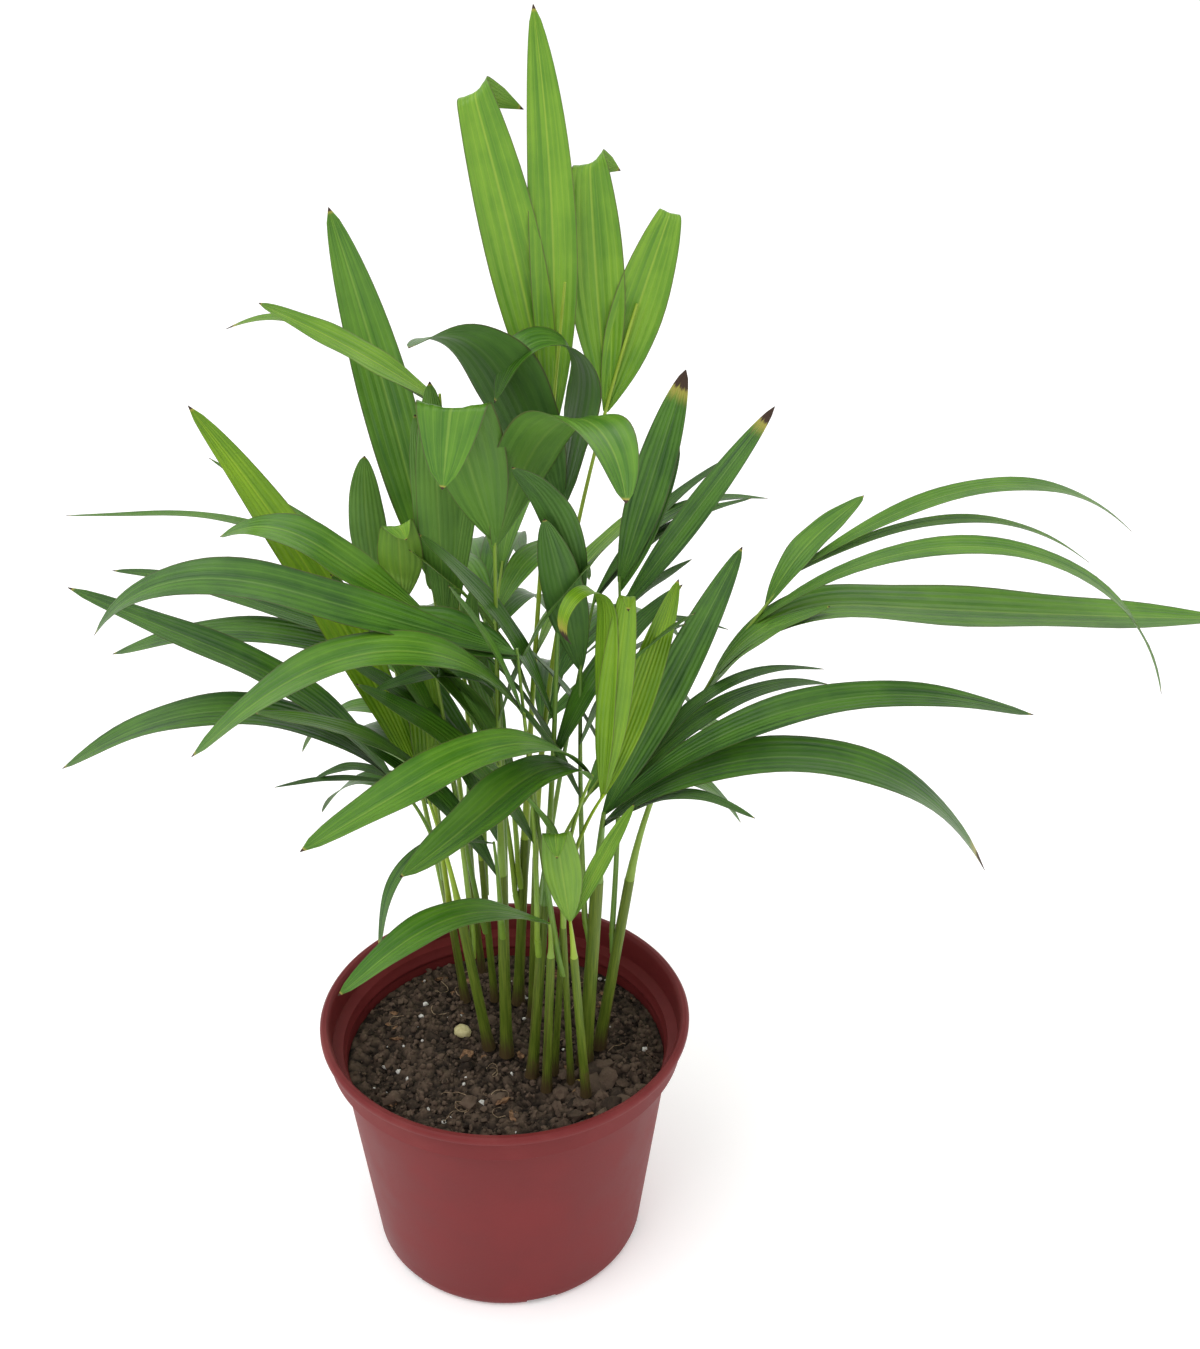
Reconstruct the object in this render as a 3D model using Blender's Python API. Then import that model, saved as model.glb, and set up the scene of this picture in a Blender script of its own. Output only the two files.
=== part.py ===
"""Potted areca palm: a young clump of about fourteen cane stems in a plastic nursery pot.

Metres, +Z up, origin at the centre of the pot's underside. The front of the plant faces -Y.
Every frond is one solid: a petiole that leaves its stem and carries leaflets, each leaflet grown
by one rule from a heading, a rise, a length and the way it droops. Sizes below marked "mm" and
"deg" are turned into metres and radians where they are used.
"""
import math
from typing import NamedTuple

import bmesh
import bpy
import numpy as np
from mathutils import Matrix, Vector
from mathutils.bvhtree import BVHTree

MM = 0.001
CLEARANCE = 0.0003

# Pot
POT_HEIGHT = 0.118
RIM_RADIUS = 0.0825
COLLAR_RADIUS = 0.0794
COLLAR_BOTTOM = 0.1035
WALL_TOP_RADIUS = 0.0745
FOOT_RADIUS = 0.0626
WALL = 0.0013
FLOOR = 0.0018
POT_SIDES = 40
SLOT_COUNT = 6
SLOT_WIDTH = 0.0135
SLOT_HEIGHT = 0.0030
SLOT_INNER_RADIUS = 0.051
SLOT_TURN = math.radians(-78)

# Soil
SOIL_LEVEL = 0.0935
SOIL_RINGS = 9

# Leaflets
LEAF_STATIONS = 8
LEAF_THICKNESS_RATIO = 0.012
LEAF_MIN_THICKNESS = 0.0010
KEEL_RATIO = 0.16
PETIOLE_SIDES = 5
STEM_SIDES = 7

# Base colours, linear
COLOURS = {
    "pot": (0.245, 0.048, 0.050),
    "soil": (0.040, 0.026, 0.016),
    "stem": (0.23, 0.34, 0.045),
    "young": (0.21, 0.40, 0.012),
    "bright": (0.17, 0.34, 0.030),
    "mid": (0.090, 0.24, 0.030),
    "dark": (0.030, 0.105, 0.028),
}
ROUGHNESS = {"pot": 0.48, "soil": 0.95, "stem": 0.45, "young": 0.42, "bright": 0.40, "mid": 0.38, "dark": 0.36}


class Stem(NamedTuple):
    """A cane: where it leaves the soil, how it leans and how long and thick it is (mm, deg)."""
    name: str
    x: float
    y: float
    lean_to: float
    lean: float
    length: float
    width: float


class Leaf(NamedTuple):
    """One leaflet: where on the petiole it starts, then heading, rise, length, width and bend."""
    at: float
    heading: float
    rise: float
    length: float
    width: float
    droop: float = 40
    bend_at: float = 0.5
    bend_over: float = 1.0
    lean: float = 0
    sweep: float = 0
    roll: float = 0
    twist: float = 0
    crease: float = 0
    belly: float = 0.46


class Frond(NamedTuple):
    """A petiole from a stem (up: share of the stem's length) to an end point (mm), and its leaflets."""
    name: str
    stem: str
    up: float
    end: tuple
    colour: str
    leaves: tuple
    thick: float = 2.6
    bow: float = 0.5


def spray(heading, rise, length, width, droop, pairs):
    """Leaflets of a frond on the hidden side: pairs that open wider and hang lower down its stalk."""
    leaves = []
    for pair in range(pairs):
        for side in (-1, 1):
            leaves.append(Leaf(
                at=1.0 - 0.14 * pair - 0.03 * (side > 0),
                heading=heading + side * (10 + 18 * pair),
                rise=rise - 9 * pair,
                length=length * (1.0 - 0.08 * pair),
                width=width,
                droop=droop,
                bend_at=0.45,
                bend_over=1.3,
            ))
    return tuple(leaves)


STEMS = (
    Stem("stem_left_back", -19, 36, 180, 6, 70, 4.0),
    Stem("stem_left_front", -8, 1, 180, 8, 78, 5.0),
    Stem("stem_centre_front", 0, -5, 90, 1, 96, 5.4),
    Stem("stem_left_inner", -5, 35, 180, 3, 80, 3.4),
    Stem("stem_far_back", -11, 58, 170, 4, 82, 3.4),
    Stem("stem_centre_back", 6, 32, 0, 3, 92, 5.0),
    Stem("stem_middle", 11, -19, 0, 4, 92, 5.0),
    Stem("stem_middle_back", 12, 22, 0, 2, 88, 3.4),
    Stem("stem_front_left", 17, -28, 0, 2, 72, 4.2),
    Stem("stem_front", 21, -19, 0, 3, 84, 3.2),
    Stem("stem_front_thin", 28, -25, 180, 2, 84, 3.0),
    Stem("stem_nearest", 34, -37, 180, 4, 74, 4.0),
    Stem("stem_thick", 35, -12, 0, 3, 98, 6.4),
    Stem("stem_right", 42, -2, 0, 8, 92, 5.2),
)

FRONDS = (
    Frond("frond_top_left", "stem_centre_back", 1.0, (29, 18, 438), "bright", (
        Leaf(0.76, 90, 86, 151, 18, 165, 0.86, 0.10, lean=9, sweep=7, crease=-25),
        Leaf(0.76, 90, 88, 157, 15, 8, lean=-4, sweep=11),
    )),
    Frond("frond_top_right", "stem_middle_back", 1.0, (57, 30, 427), "bright", (
        Leaf(0.84, 90, 86, 106, 18, 150, 0.86, 0.10, lean=6, sweep=-4, crease=-30),
        Leaf(0.84, 90, 86, 86, 17, 130, 0.92, 0.10, lean=-17, sweep=-2),
    )),
    Frond("frond_arch_back", "stem_middle", 1.0, (27, 11, 384), "dark", (
        Leaf(0.86, 243, 76, 115, 26, 86, 0.70, 0.70, lean=-13, sweep=-10),
        Leaf(0.86, 200, 100, 112, 24, 175, 0.68, 0.60, lean=4),
    )),
    Frond("frond_arch_front", "stem_centre_front", 1.0, (1, -12, 386), "mid", (
        Leaf(0.80, 262, 74, 96, 24, 160, 0.67, 0.12, lean=-12, sweep=6, crease=-8),
        Leaf(0.80, 298, 80, 126, 26, 143, 0.72, 1.30, lean=15, sweep=-11),
    )),
    Frond("frond_left_spear", "stem_far_back", 1.0, (-26, 42, 311), "mid", (
        Leaf(1.0, 92, 86, 154, 18, 10, lean=9, sweep=7),
        Leaf(1.0, 100, 84, 104, 10, 10, lean=13, sweep=3),
    )),
    Frond("frond_left_high", "stem_left_inner", 1.0, (-19, 30, 393), "bright", (
        Leaf(1.0, 188, 38, 77, 13, 14, roll=-25),
        Leaf(1.0, 178, 36, 92, 8, 62, 0.75, 0.6, roll=-10),
    )),
    Frond("frond_left_tuft", "stem_left_back", 0.85, (-48, 50, 297), "mid", (
        Leaf(1.0, 262, 84, 78, 13, 20, lean=-8, sweep=18),
        Leaf(1.0, 165, 66, 98, 6, 35, 0.3, 0.4),
        Leaf(1.0, 168, 51, 150, 6, 56, 0.35, 0.9),
    )),
    Frond("frond_left_broad", "stem_centre_back", 0.70, (-22, 22, 305), "mid", (
        Leaf(1.0, 262, 85, 90, 11, 8, lean=-3),
        Leaf(1.0, 268, 84, 108, 14, 12),
        Leaf(0.95, 262, 86, 100, 8, 10, lean=6, sweep=10),
    )),
    Frond("frond_left_stub", "stem_left_back", 0.95, (-37, 20, 313), "bright", (
        Leaf(1.0, 268, 84, 44, 15, 150, 0.82, 0.16, crease=15),
    )),
    Frond("frond_left_bright", "stem_left_front", 1.0, (-31, 5, 230), "young", (
        Leaf(1.0, 120, 66, 186, 16, 17, 0.64, 1.2, lean=10, sweep=12),
        Leaf(1.0, 105, 80, 66, 12, 8, lean=-8, sweep=12),
    )),
    Frond("frond_left_inner", "stem_left_front", 0.80, (-28, 8, 312), "mid", (
        Leaf(1.0, 172, 36, 95, 18, 70, 0.74, 0.6, roll=-15),
    )),
    Frond("frond_left_back", "stem_left_inner", 0.65, (-26, 30, 281), "dark", (
        Leaf(1.0, 168, 16, 142, 10, 20, 0.85, 0.5, roll=-10),
        Leaf(0.97, 172, 13, 148, 14, 38, 0.6, 0.7, roll=-15),
    )),
    Frond("frond_left_low", "stem_left_back", 1.0, (-46, 24, 225), "dark", (
        Leaf(1.0, 196, 64, 160, 16, 40, 0.3, 0.8, roll=-25),
        Leaf(1.0, 200, 60, 160, 18, 98, 0.4, 1.3, roll=-20),
        Leaf(0.98, 190, 18, 52, 4, 25),
        Leaf(0.98, 185, 46, 40, 6, 76),
    )),
    Frond("frond_left_wide", "stem_middle", 0.85, (10, -37, 288), "mid", (
        Leaf(1.0, 200, 68, 150, 20, 112, 0.25, 1.5, roll=-10),
        Leaf(1.0, 175, 74, 62, 7, 20),
    )),
    Frond("frond_cross", "stem_front_thin", 0.85, (8, -24, 309), "dark", (
        Leaf(1.0, 186, 22, 176, 16, 84, 0.80, 0.7, roll=-20),
        Leaf(1.0, 176, 30, 60, 18, 35, roll=-20),
    )),
    Frond("frond_front_pair", "stem_front_thin", 1.0, (36, -39, 261), "mid", (
        Leaf(1.0, 216, 60, 146, 19, 66, 0.2, 0.95, sweep=10),
        Leaf(1.0, 222, 57, 99, 20, 80, 0.2, 0.8, sweep=-12),
    )),
    Frond("frond_rim", "stem_front_left", 1.0, (19, -29, 185), "mid", (
        Leaf(1.0, 215, 38, 109, 16, 62, 0.5, 0.85),
    )),
    Frond("frond_hanging", "stem_centre_front", 0.80, (-3, -16, 217), "dark", (
        Leaf(1.0, 215, 28, 86, 6, 108, 0.5, 0.75),
    )),
    Frond("frond_inner_left", "stem_centre_front", 0.70, (1, 2, 276), "dark", (
        Leaf(1.0, 190, 66, 58, 12, 84, 0.25, 1.2),
    )),
    Frond("frond_young", "stem_front", 1.0, (41, -35, 250), "young", (
        Leaf(1.0, 220, 88, 128, 10, 225, 0.84, 0.5, lean=3),
        Leaf(1.0, 268, 84, 102, 13, 120, 0.92, 0.12, lean=5),
        Leaf(1.0, 80, 80, 92, 12, 20, lean=-18, sweep=2),
    )),
    Frond("frond_right_low", "stem_thick", 1.0, (42, -20, 232), "dark", (
        Leaf(1.0, 78, 76, 122, 13, 12, lean=-24),
        Leaf(1.0, -8, 48, 208, 14, 74, 0.4, 1.1, roll=25),
        Leaf(0.8, -18, 52, 206, 19, 118, 0.4, 1.5, roll=20),
        Leaf(1.0, 10, 54, 124, 8, 80, 0.6, 1.3, roll=20),
        Leaf(1.0, 14, 54, 124, 6, 72, 0.6, 0.8, roll=10),
        Leaf(0.9, -22, 36, 70, 7, 58, 0.6, 0.7),
    ), thick=4.4),
    Frond("frond_right_long", "stem_right", 1.0, (126, 14, 328), "mid", (
        Leaf(0.62, -14, 67, 240, 19, 75, 0.15, 0.4, roll=20),
        Leaf(0.80, -14, 45, 222, 11, 118, 0.55, 1.5, roll=15),
        Leaf(1.0, 8, 33, 180, 9, 75, 0.55, 1.3, roll=15),
        Leaf(1.0, 8, 28, 150, 6, 66, 0.5, 1.3, roll=10),
        Leaf(0.90, 40, 60, 64, 11, 38, 0.4, 0.8, lean=-8),
        Leaf(0.62, -15, 64, 70, 12, 44, roll=10),
    )),
    Frond("frond_right_spears", "stem_right", 0.70, (50, 13, 322), "dark", (
        Leaf(1.0, 78, 82, 88, 13, 5, lean=-15),
        Leaf(0.92, 75, 76, 102, 9, 12, lean=-33),
        Leaf(1.0, 78, 80, 62, 8, 10, lean=-20),
    )),
    Frond("frond_right_fan", "stem_middle_back", 0.80, (41, 20, 312), "dark", (
        Leaf(1.0, 20, 57, 93, 8, 70),
        Leaf(1.0, 12, 53, 80, 7, 46),
        Leaf(1.0, 30, 54, 86, 6, 34),
        Leaf(0.9, 5, 44, 54, 8, 15),
        Leaf(0.85, -8, 45, 66, 5, 62),
    )),
    Frond("frond_centre_dark", "stem_thick", 0.80, (34, -8, 323), "dark", (
        Leaf(1.0, 256, 84, 82, 12, 46, lean=-8, sweep=-12),
        Leaf(0.8, 262, 86, 72, 14, 16, lean=-10),
    )),
    Frond("frond_front_small", "stem_nearest", 1.0, (27, -42, 195), "bright", (
        Leaf(1.0, 262, 84, 59, 13, 160, 0.82, 0.16, lean=-6),
        Leaf(1.0, 82, 80, 56, 6, 10, lean=-22, sweep=-8),
    )),
    Frond("frond_inner_up", "stem_centre_back", 0.85, (-2, 16, 268), "mid", (
        Leaf(1.0, 262, 84, 58, 7, 10, lean=-22, sweep=34),
    )),
    Frond("frond_back_left", "stem_left_back", 0.60, (-30, 76, 196), "dark", spray(122, 42, 88, 13, 95, 2)),
    Frond("frond_back_outer_left", "stem_far_back", 0.60, (-30, 96, 226), "mid", spray(126, 45, 105, 14, 100, 2)),
    Frond("frond_back_middle", "stem_far_back", 0.80, (-4, 112, 264), "dark", spray(88, 50, 110, 14, 105, 2)),
    Frond("frond_back_high", "stem_left_inner", 0.90, (4, 80, 302), "mid", spray(84, 58, 110, 14, 110, 2)),
    Frond("frond_back_right", "stem_centre_back", 0.60, (26, 92, 234), "dark", spray(56, 48, 115, 14, 100, 2)),
    Frond("frond_back_outer_right", "stem_middle_back", 0.60, (52, 56, 212), "mid", spray(28, 42, 90, 14, 95, 2)),
)


def smooth_step(value):
    value = min(max(value, 0.0), 1.0)
    return value * value * (3.0 - 2.0 * value)


def leaf_frames(leaf, steps=96):
    """Point, direction, width direction and face normal along a leaflet that starts at the origin."""
    heading, rise = math.radians(leaf.heading), math.radians(leaf.rise)
    along = Vector((math.cos(rise) * math.cos(heading), math.cos(rise) * math.sin(heading), math.sin(rise)))
    across = Vector((-math.sin(heading), math.cos(heading), 0.0))
    face = along.cross(across)

    def turn(axis, angle, *vectors):
        rotation = Matrix.Rotation(angle, 3, axis)
        return [rotation @ vector for vector in vectors]

    along, across = turn(face, math.radians(leaf.lean), along, across)
    across, face = turn(along, math.radians(leaf.roll), across, face)
    start = leaf.bend_at - leaf.bend_over / 2
    bend = [smooth_step((i / steps - start) / leaf.bend_over) for i in range(steps + 1)]
    total = max(bend[-1] - bend[0], 1e-6)
    point = Vector((0.0, 0.0, 0.0))
    frames = [(point.copy(), along, across, face)]
    for i in range(steps):
        droop = math.radians(leaf.droop) * (bend[i + 1] - bend[i]) / total
        crease = across * math.cos(math.radians(leaf.crease)) + along * math.sin(math.radians(leaf.crease))
        along, across, face = turn(crease, droop, along, across, face)
        along, across = turn(face, math.radians(leaf.sweep) / steps, along, across)
        across, face = turn(along, math.radians(leaf.twist) / steps, across, face)
        point = point + along * (leaf.length * MM / steps)
        frames.append((point.copy(), along, across, face))
    return frames


def station_steps(frames, stations):
    """Steps at which a leaflet is cut into stations, closer together where it bends."""
    cost = [0.0]
    for before, after in zip(frames, frames[1:]):
        turned = before[1].angle(after[1], 0.0)
        cost.append(cost[-1] + 1.0 / len(frames) + turned / math.pi)
    return [int(np.argmin([abs(c - cost[-1] * i / stations) for c in cost])) for i in range(stations + 1)]


def leaf_outline(share, belly):
    """Half width of a leaflet as a share of its greatest half width: narrow foot, strap, pointed tip."""
    if share < belly:
        return 0.10 + 0.90 * math.sin(math.pi / 2 * share / belly) ** 0.9
    return math.cos(math.pi / 2 * (share - belly) / (1 - belly)) ** 0.62


def leaf_body(leaf, root):
    """Points and faces of one closed leaflet: a shallow V in section, pinched to a point at the tip."""
    frames = leaf_frames(leaf)
    steps = station_steps(frames, LEAF_STATIONS)
    half_thick = max(LEAF_THICKNESS_RATIO * leaf.length * MM, LEAF_MIN_THICKNESS) / 2
    points, faces = [], []
    for step in steps[:-1]:
        point, along, across, face = frames[step]
        half = leaf.width * MM / 2 * leaf_outline(step / (len(frames) - 1), leaf.belly)
        middle = root + point - face * (KEEL_RATIO * half)
        points += [root + point + across * half, middle + face * half_thick,
                   root + point - across * half, middle - face * half_thick]
    points.append(root + frames[-1][0])
    tip = len(points) - 1
    faces.append((0, 1, 2, 3))
    for ring in range(len(steps) - 2):
        low, high = 4 * ring, 4 * ring + 4
        for side in range(4):
            after = (side + 1) % 4
            faces.append((low + after, low + side, high + side, high + after))
    last = tip - 4
    for side in range(4):
        faces.append((last + (side + 1) % 4, last + side, tip))
    return points, faces


def tube_body(centres, radii, sides, end_point=False):
    """Points and faces of a closed tapering tube through centres."""
    points, faces = [], []
    reference = Vector((0.0, 1.0, 0.0))
    for i, centre in enumerate(centres):
        along = (centres[min(i + 1, len(centres) - 1)] - centres[max(i - 1, 0)]).normalized()
        side = along.cross(reference).normalized()
        other = along.cross(side)
        for k in range(sides):
            angle = 2 * math.pi * k / sides
            points.append(centre + (side * math.cos(angle) + other * math.sin(angle)) * radii[i])
    for ring in range(len(centres) - 1):
        low, high = sides * ring, sides * (ring + 1)
        for k in range(sides):
            after = (k + 1) % sides
            faces.append((low + k, low + after, high + after, high + k))
    faces.append(tuple(reversed(range(sides))))
    last = sides * (len(centres) - 1)
    faces.append(tuple(range(last, last + sides)))
    return points, faces


def material(name):
    found = bpy.data.materials.get(name)
    if found:
        return found
    made = bpy.data.materials.new(name)
    made.use_nodes = True
    shader = made.node_tree.nodes["Principled BSDF"]
    shader.inputs["Base Color"].default_value = (*COLOURS[name], 1.0)
    shader.inputs["Roughness"].default_value = ROUGHNESS[name]
    shader.inputs["Metallic"].default_value = 0.0
    return made


def mesh_object(name, points, faces, colour, smooth=True):
    """A named object whose mesh has its faces turned outwards."""
    mesh = bpy.data.meshes.new(name)
    mesh.from_pydata([tuple(point) for point in points], [], faces)
    work = bmesh.new()
    work.from_mesh(mesh)
    bmesh.ops.recalc_face_normals(work, faces=work.faces)
    work.to_mesh(mesh)
    work.free()
    if smooth:
        mesh.shade_smooth()
        mesh.set_sharp_from_angle(angle=math.radians(40))
    mesh.materials.append(material(colour))
    made = bpy.data.objects.new(name, mesh)
    bpy.context.scene.collection.objects.link(made)
    return made


def apply_modifiers(item):
    """Keep the evaluated mesh of an object as its own mesh."""
    evaluated = item.evaluated_get(bpy.context.evaluated_depsgraph_get())
    mesh = bpy.data.meshes.new_from_object(evaluated)
    item.modifiers.clear()
    item.data = mesh


def fuse(body, others):
    """Join closed objects to a body by one Boolean union, then remove them."""
    group = bpy.data.collections.new(body.name + "_leaflets")
    bpy.context.scene.collection.children.link(group)
    for other in others:
        bpy.context.scene.collection.objects.unlink(other)
        group.objects.link(other)
    union = body.modifiers.new("union", "BOOLEAN")
    union.operation = "UNION"
    union.operand_type = "COLLECTION"
    union.collection = group
    union.solver = "MANIFOLD"
    apply_modifiers(body)
    for other in others:
        bpy.data.objects.remove(other)
    bpy.data.collections.remove(group)
    keep_main_shell(body)


def keep_main_shell(item):
    """Fill the sealed hollows and drop the loose scraps that a union leaves: only the largest shell stays."""
    work = bmesh.new()
    work.from_mesh(item.data)
    unseen, shells = set(work.faces), []
    while unseen:
        front = [unseen.pop()]
        shell = []
        while front:
            face = front.pop()
            shell.append(face)
            for edge in face.edges:
                if len(edge.link_faces) != 2:
                    continue
                for other in edge.link_faces:
                    if other in unseen:
                        unseen.remove(other)
                        front.append(other)
        shells.append(shell)
    main_shell = max(shells, key=len)
    spare = [face for shell in shells if shell is not main_shell for face in shell]
    bmesh.ops.delete(work, geom=spare, context="FACES")
    bmesh.ops.triangulate(work, faces=work.faces, quad_method="BEAUTY", ngon_method="BEAUTY")
    work.to_mesh(item.data)
    work.free()


def spun_profile(name, profile, colour, sides=POT_SIDES):
    """A turned solid from a profile of (radius, height) that starts and ends on the axis."""
    points, faces = [], []
    inner = profile[1:-1]
    points.append(Vector((0.0, 0.0, profile[0][1])))
    for radius, height in inner:
        for k in range(sides):
            angle = 2 * math.pi * k / sides
            points.append(Vector((radius * math.cos(angle), radius * math.sin(angle), height)))
    points.append(Vector((0.0, 0.0, profile[-1][1])))
    last = len(points) - 1
    for k in range(sides):
        after = (k + 1) % sides
        faces.append((0, 1 + after, 1 + k))
        for ring in range(len(inner) - 1):
            low, high = 1 + sides * ring, 1 + sides * (ring + 1)
            faces.append((low + k, low + after, high + after, high + k))
        top = 1 + sides * (len(inner) - 1)
        faces.append((top + k, top + after, last))
    return mesh_object(name, points, faces, colour)


def inner_wall_radius(height):
    """Inner face of the pot's tapering wall."""
    share = (height - 0.007) / (COLLAR_BOTTOM - 0.007)
    return FOOT_RADIUS + (WALL_TOP_RADIUS - FOOT_RADIUS) * share - WALL


def make_pot():
    """Nursery pot with a rolled lip, a collar band, a foot with drain slots and rings inside."""
    ring_radius = inner_wall_radius(0.0985)
    profile = [
        (0.0, 0.0), (0.0585, 0.0), (0.0610, 0.0012), (0.0622, 0.0036), (FOOT_RADIUS, 0.0070),
        (WALL_TOP_RADIUS, COLLAR_BOTTOM), (COLLAR_RADIUS - 0.0002, COLLAR_BOTTOM + 0.0004),
        (COLLAR_RADIUS, POT_HEIGHT - 0.0040), (RIM_RADIUS - 0.0006, POT_HEIGHT - 0.0036),
        (RIM_RADIUS, POT_HEIGHT - 0.0026), (RIM_RADIUS, POT_HEIGHT - 0.0012),
        (RIM_RADIUS - 0.0012, POT_HEIGHT), (RIM_RADIUS - 0.0028, POT_HEIGHT),
        (COLLAR_RADIUS - WALL, POT_HEIGHT - 0.0022), (COLLAR_RADIUS - WALL - 0.0003, COLLAR_BOTTOM + 0.0016),
        (WALL_TOP_RADIUS - WALL, COLLAR_BOTTOM), (ring_radius - 0.0001, 0.1002), (ring_radius - 0.0008, 0.0988),
        (ring_radius - 0.0002, 0.0972), (inner_wall_radius(0.007), 0.0070), (0.0590, FLOOR + 0.0004), (0.0, FLOOR),
    ]
    pot = spun_profile("pot", profile, "pot")
    cutters = []
    for i in range(SLOT_COUNT):
        angle = SLOT_TURN + 2 * math.pi * i / SLOT_COUNT
        bpy.ops.mesh.primitive_cube_add(size=1.0)
        cutter = bpy.context.active_object
        cutter.name = f"drain_slot_cutter_{i}"
        reach = 0.070 - SLOT_INNER_RADIUS
        middle = SLOT_INNER_RADIUS + reach / 2
        size = Matrix.Diagonal((reach, SLOT_WIDTH, 2 * SLOT_HEIGHT, 1.0))
        cutter.data.transform(size)
        cutter.location = (middle * math.cos(angle), middle * math.sin(angle), 0.0)
        cutter.rotation_euler = (0.0, 0.0, angle)
        cutters.append(cutter)
    bpy.context.view_layer.update()
    for cutter in cutters:
        cut = pot.modifiers.new("drain_slot", "BOOLEAN")
        cut.operation = "DIFFERENCE"
        cut.object = cutter
        cut.solver = "EXACT"
    apply_modifiers(pot)
    for cutter in cutters:
        bpy.data.objects.remove(cutter)
    return pot


def soil_height(x, y):
    """Crumbly surface: a few broad mounds and hollows, higher at the front right."""
    mounds = (
        (0.040, -0.042, 0.0060, 0.013), (0.056, -0.016, 0.0048, 0.012), (0.020, -0.056, 0.0040, 0.012),
        (-0.042, 0.030, 0.0030, 0.018), (-0.030, -0.040, 0.0022, 0.016), (0.046, 0.026, 0.0030, 0.014),
        (-0.056, -0.008, -0.0026, 0.013), (0.006, 0.050, 0.0020, 0.018), (0.012, 0.000, 0.0022, 0.030),
    )
    height = SOIL_LEVEL + 0.0006 * math.sin(210 * x + 1.0) * math.cos(190 * y)
    for centre_x, centre_y, rise, reach in mounds:
        height += rise * math.exp(-((x - centre_x) ** 2 + (y - centre_y) ** 2) / (reach * reach))
    return height


def make_soil():
    """Soil that fills the pot to its uneven top, a little clear of the wall and floor."""
    facet = math.cos(math.pi / POT_SIDES)
    bottom = FLOOR + 0.0004 + CLEARANCE
    points = [Vector((0.0, 0.0, bottom))]
    rings = [(0.0570, bottom), (inner_wall_radius(0.0090) - CLEARANCE / facet - 0.0002, 0.0090)]
    for radius, height in rings:
        for k in range(POT_SIDES):
            angle = 2 * math.pi * k / POT_SIDES
            points.append(Vector((radius * math.cos(angle), radius * math.sin(angle), height)))
    edge_radius = inner_wall_radius(SOIL_LEVEL) - CLEARANCE / facet - 0.0002
    for ring in range(SOIL_RINGS, 0, -1):
        radius = edge_radius * ring / SOIL_RINGS
        for k in range(POT_SIDES):
            angle = 2 * math.pi * k / POT_SIDES
            x, y = radius * math.cos(angle), radius * math.sin(angle)
            height = soil_height(x, y)
            if ring == SOIL_RINGS:
                height = SOIL_LEVEL
            points.append(Vector((x, y, height)))
    points.append(Vector((0.0, 0.0, soil_height(0.0, 0.0))))
    last = len(points) - 1
    ring_count = len(rings) + SOIL_RINGS
    faces = []
    for k in range(POT_SIDES):
        after = (k + 1) % POT_SIDES
        faces.append((0, 1 + after, 1 + k))
        for ring in range(ring_count - 1):
            low, high = 1 + POT_SIDES * ring, 1 + POT_SIDES * (ring + 1)
            faces.append((low + k, low + after, high + after, high + k))
        top = 1 + POT_SIDES * (ring_count - 1)
        faces.append((top + k, top + after, last))
    return mesh_object("soil", points, faces, "soil")


def stem_direction(stem):
    lean, toward = math.radians(stem.lean), math.radians(stem.lean_to)
    return Vector((math.sin(lean) * math.cos(toward), math.sin(lean) * math.sin(toward), math.cos(lean)))


def stem_radius(stem, share):
    """Foot a third wider than the cane, then a slow taper."""
    flare = 0.34 * math.exp(-share / 0.07)
    return stem.width * MM / 2 * (1.0 + flare - 0.16 * share)


def make_stems(soil):
    """Canes from a flat cut on the soil; returns where each one's foot stands."""
    work = bmesh.new()
    work.from_mesh(soil.data)
    surface = BVHTree.FromBMesh(work)
    work.free()
    feet = {}
    for stem in STEMS:
        foot_radius = stem_radius(stem, 0.0)
        heights = []
        for k in range(13):
            reach = 0.0 if k == 12 else foot_radius
            x = stem.x * MM + reach * math.cos(math.pi * k / 6)
            y = stem.y * MM + reach * math.sin(math.pi * k / 6)
            heights.append(surface.ray_cast(Vector((x, y, POT_HEIGHT)), Vector((0, 0, -1)))[0].z)
        foot = Vector((stem.x * MM, stem.y * MM, max(heights) + CLEARANCE))
        direction = stem_direction(stem)
        shares = (0.0, 0.05, 0.13, 0.45, 0.8, 1.0)
        centres = [foot + direction * (stem.length * MM * share) for share in shares]
        radii = [stem_radius(stem, share) for share in shares]
        points, faces = tube_body(centres, radii, STEM_SIDES)
        for k in range(STEM_SIDES):
            points[k].z = foot.z
        mesh_object(stem.name, points, faces, "stem")
        feet[stem.name] = foot
    return feet


def petiole_curve(frond, stem, foot):
    """Function from a share of the petiole's length to its centre line, and its radii at both ends."""
    direction = stem_direction(stem)
    radius = frond.thick * MM / 2
    end = Vector(frond.end) * MM
    if frond.up >= 1.0:
        start = foot + direction * (stem.length * MM + CLEARANCE)
        leave = direction
    else:
        on_axis = foot + direction * (stem.length * MM * frond.up)
        side = end - on_axis
        side = (side - direction * side.dot(direction)).normalized()
        start = on_axis + side * (stem_radius(stem, frond.up) + radius + CLEARANCE)
        leave = (direction + side * 0.10).normalized()
    handle = start + leave * ((end - start).length * frond.bow)

    def centre(share):
        return start * (1 - share) ** 2 + handle * (2 * share * (1 - share)) + end * share ** 2

    return centre, radius, radius * 0.42


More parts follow.
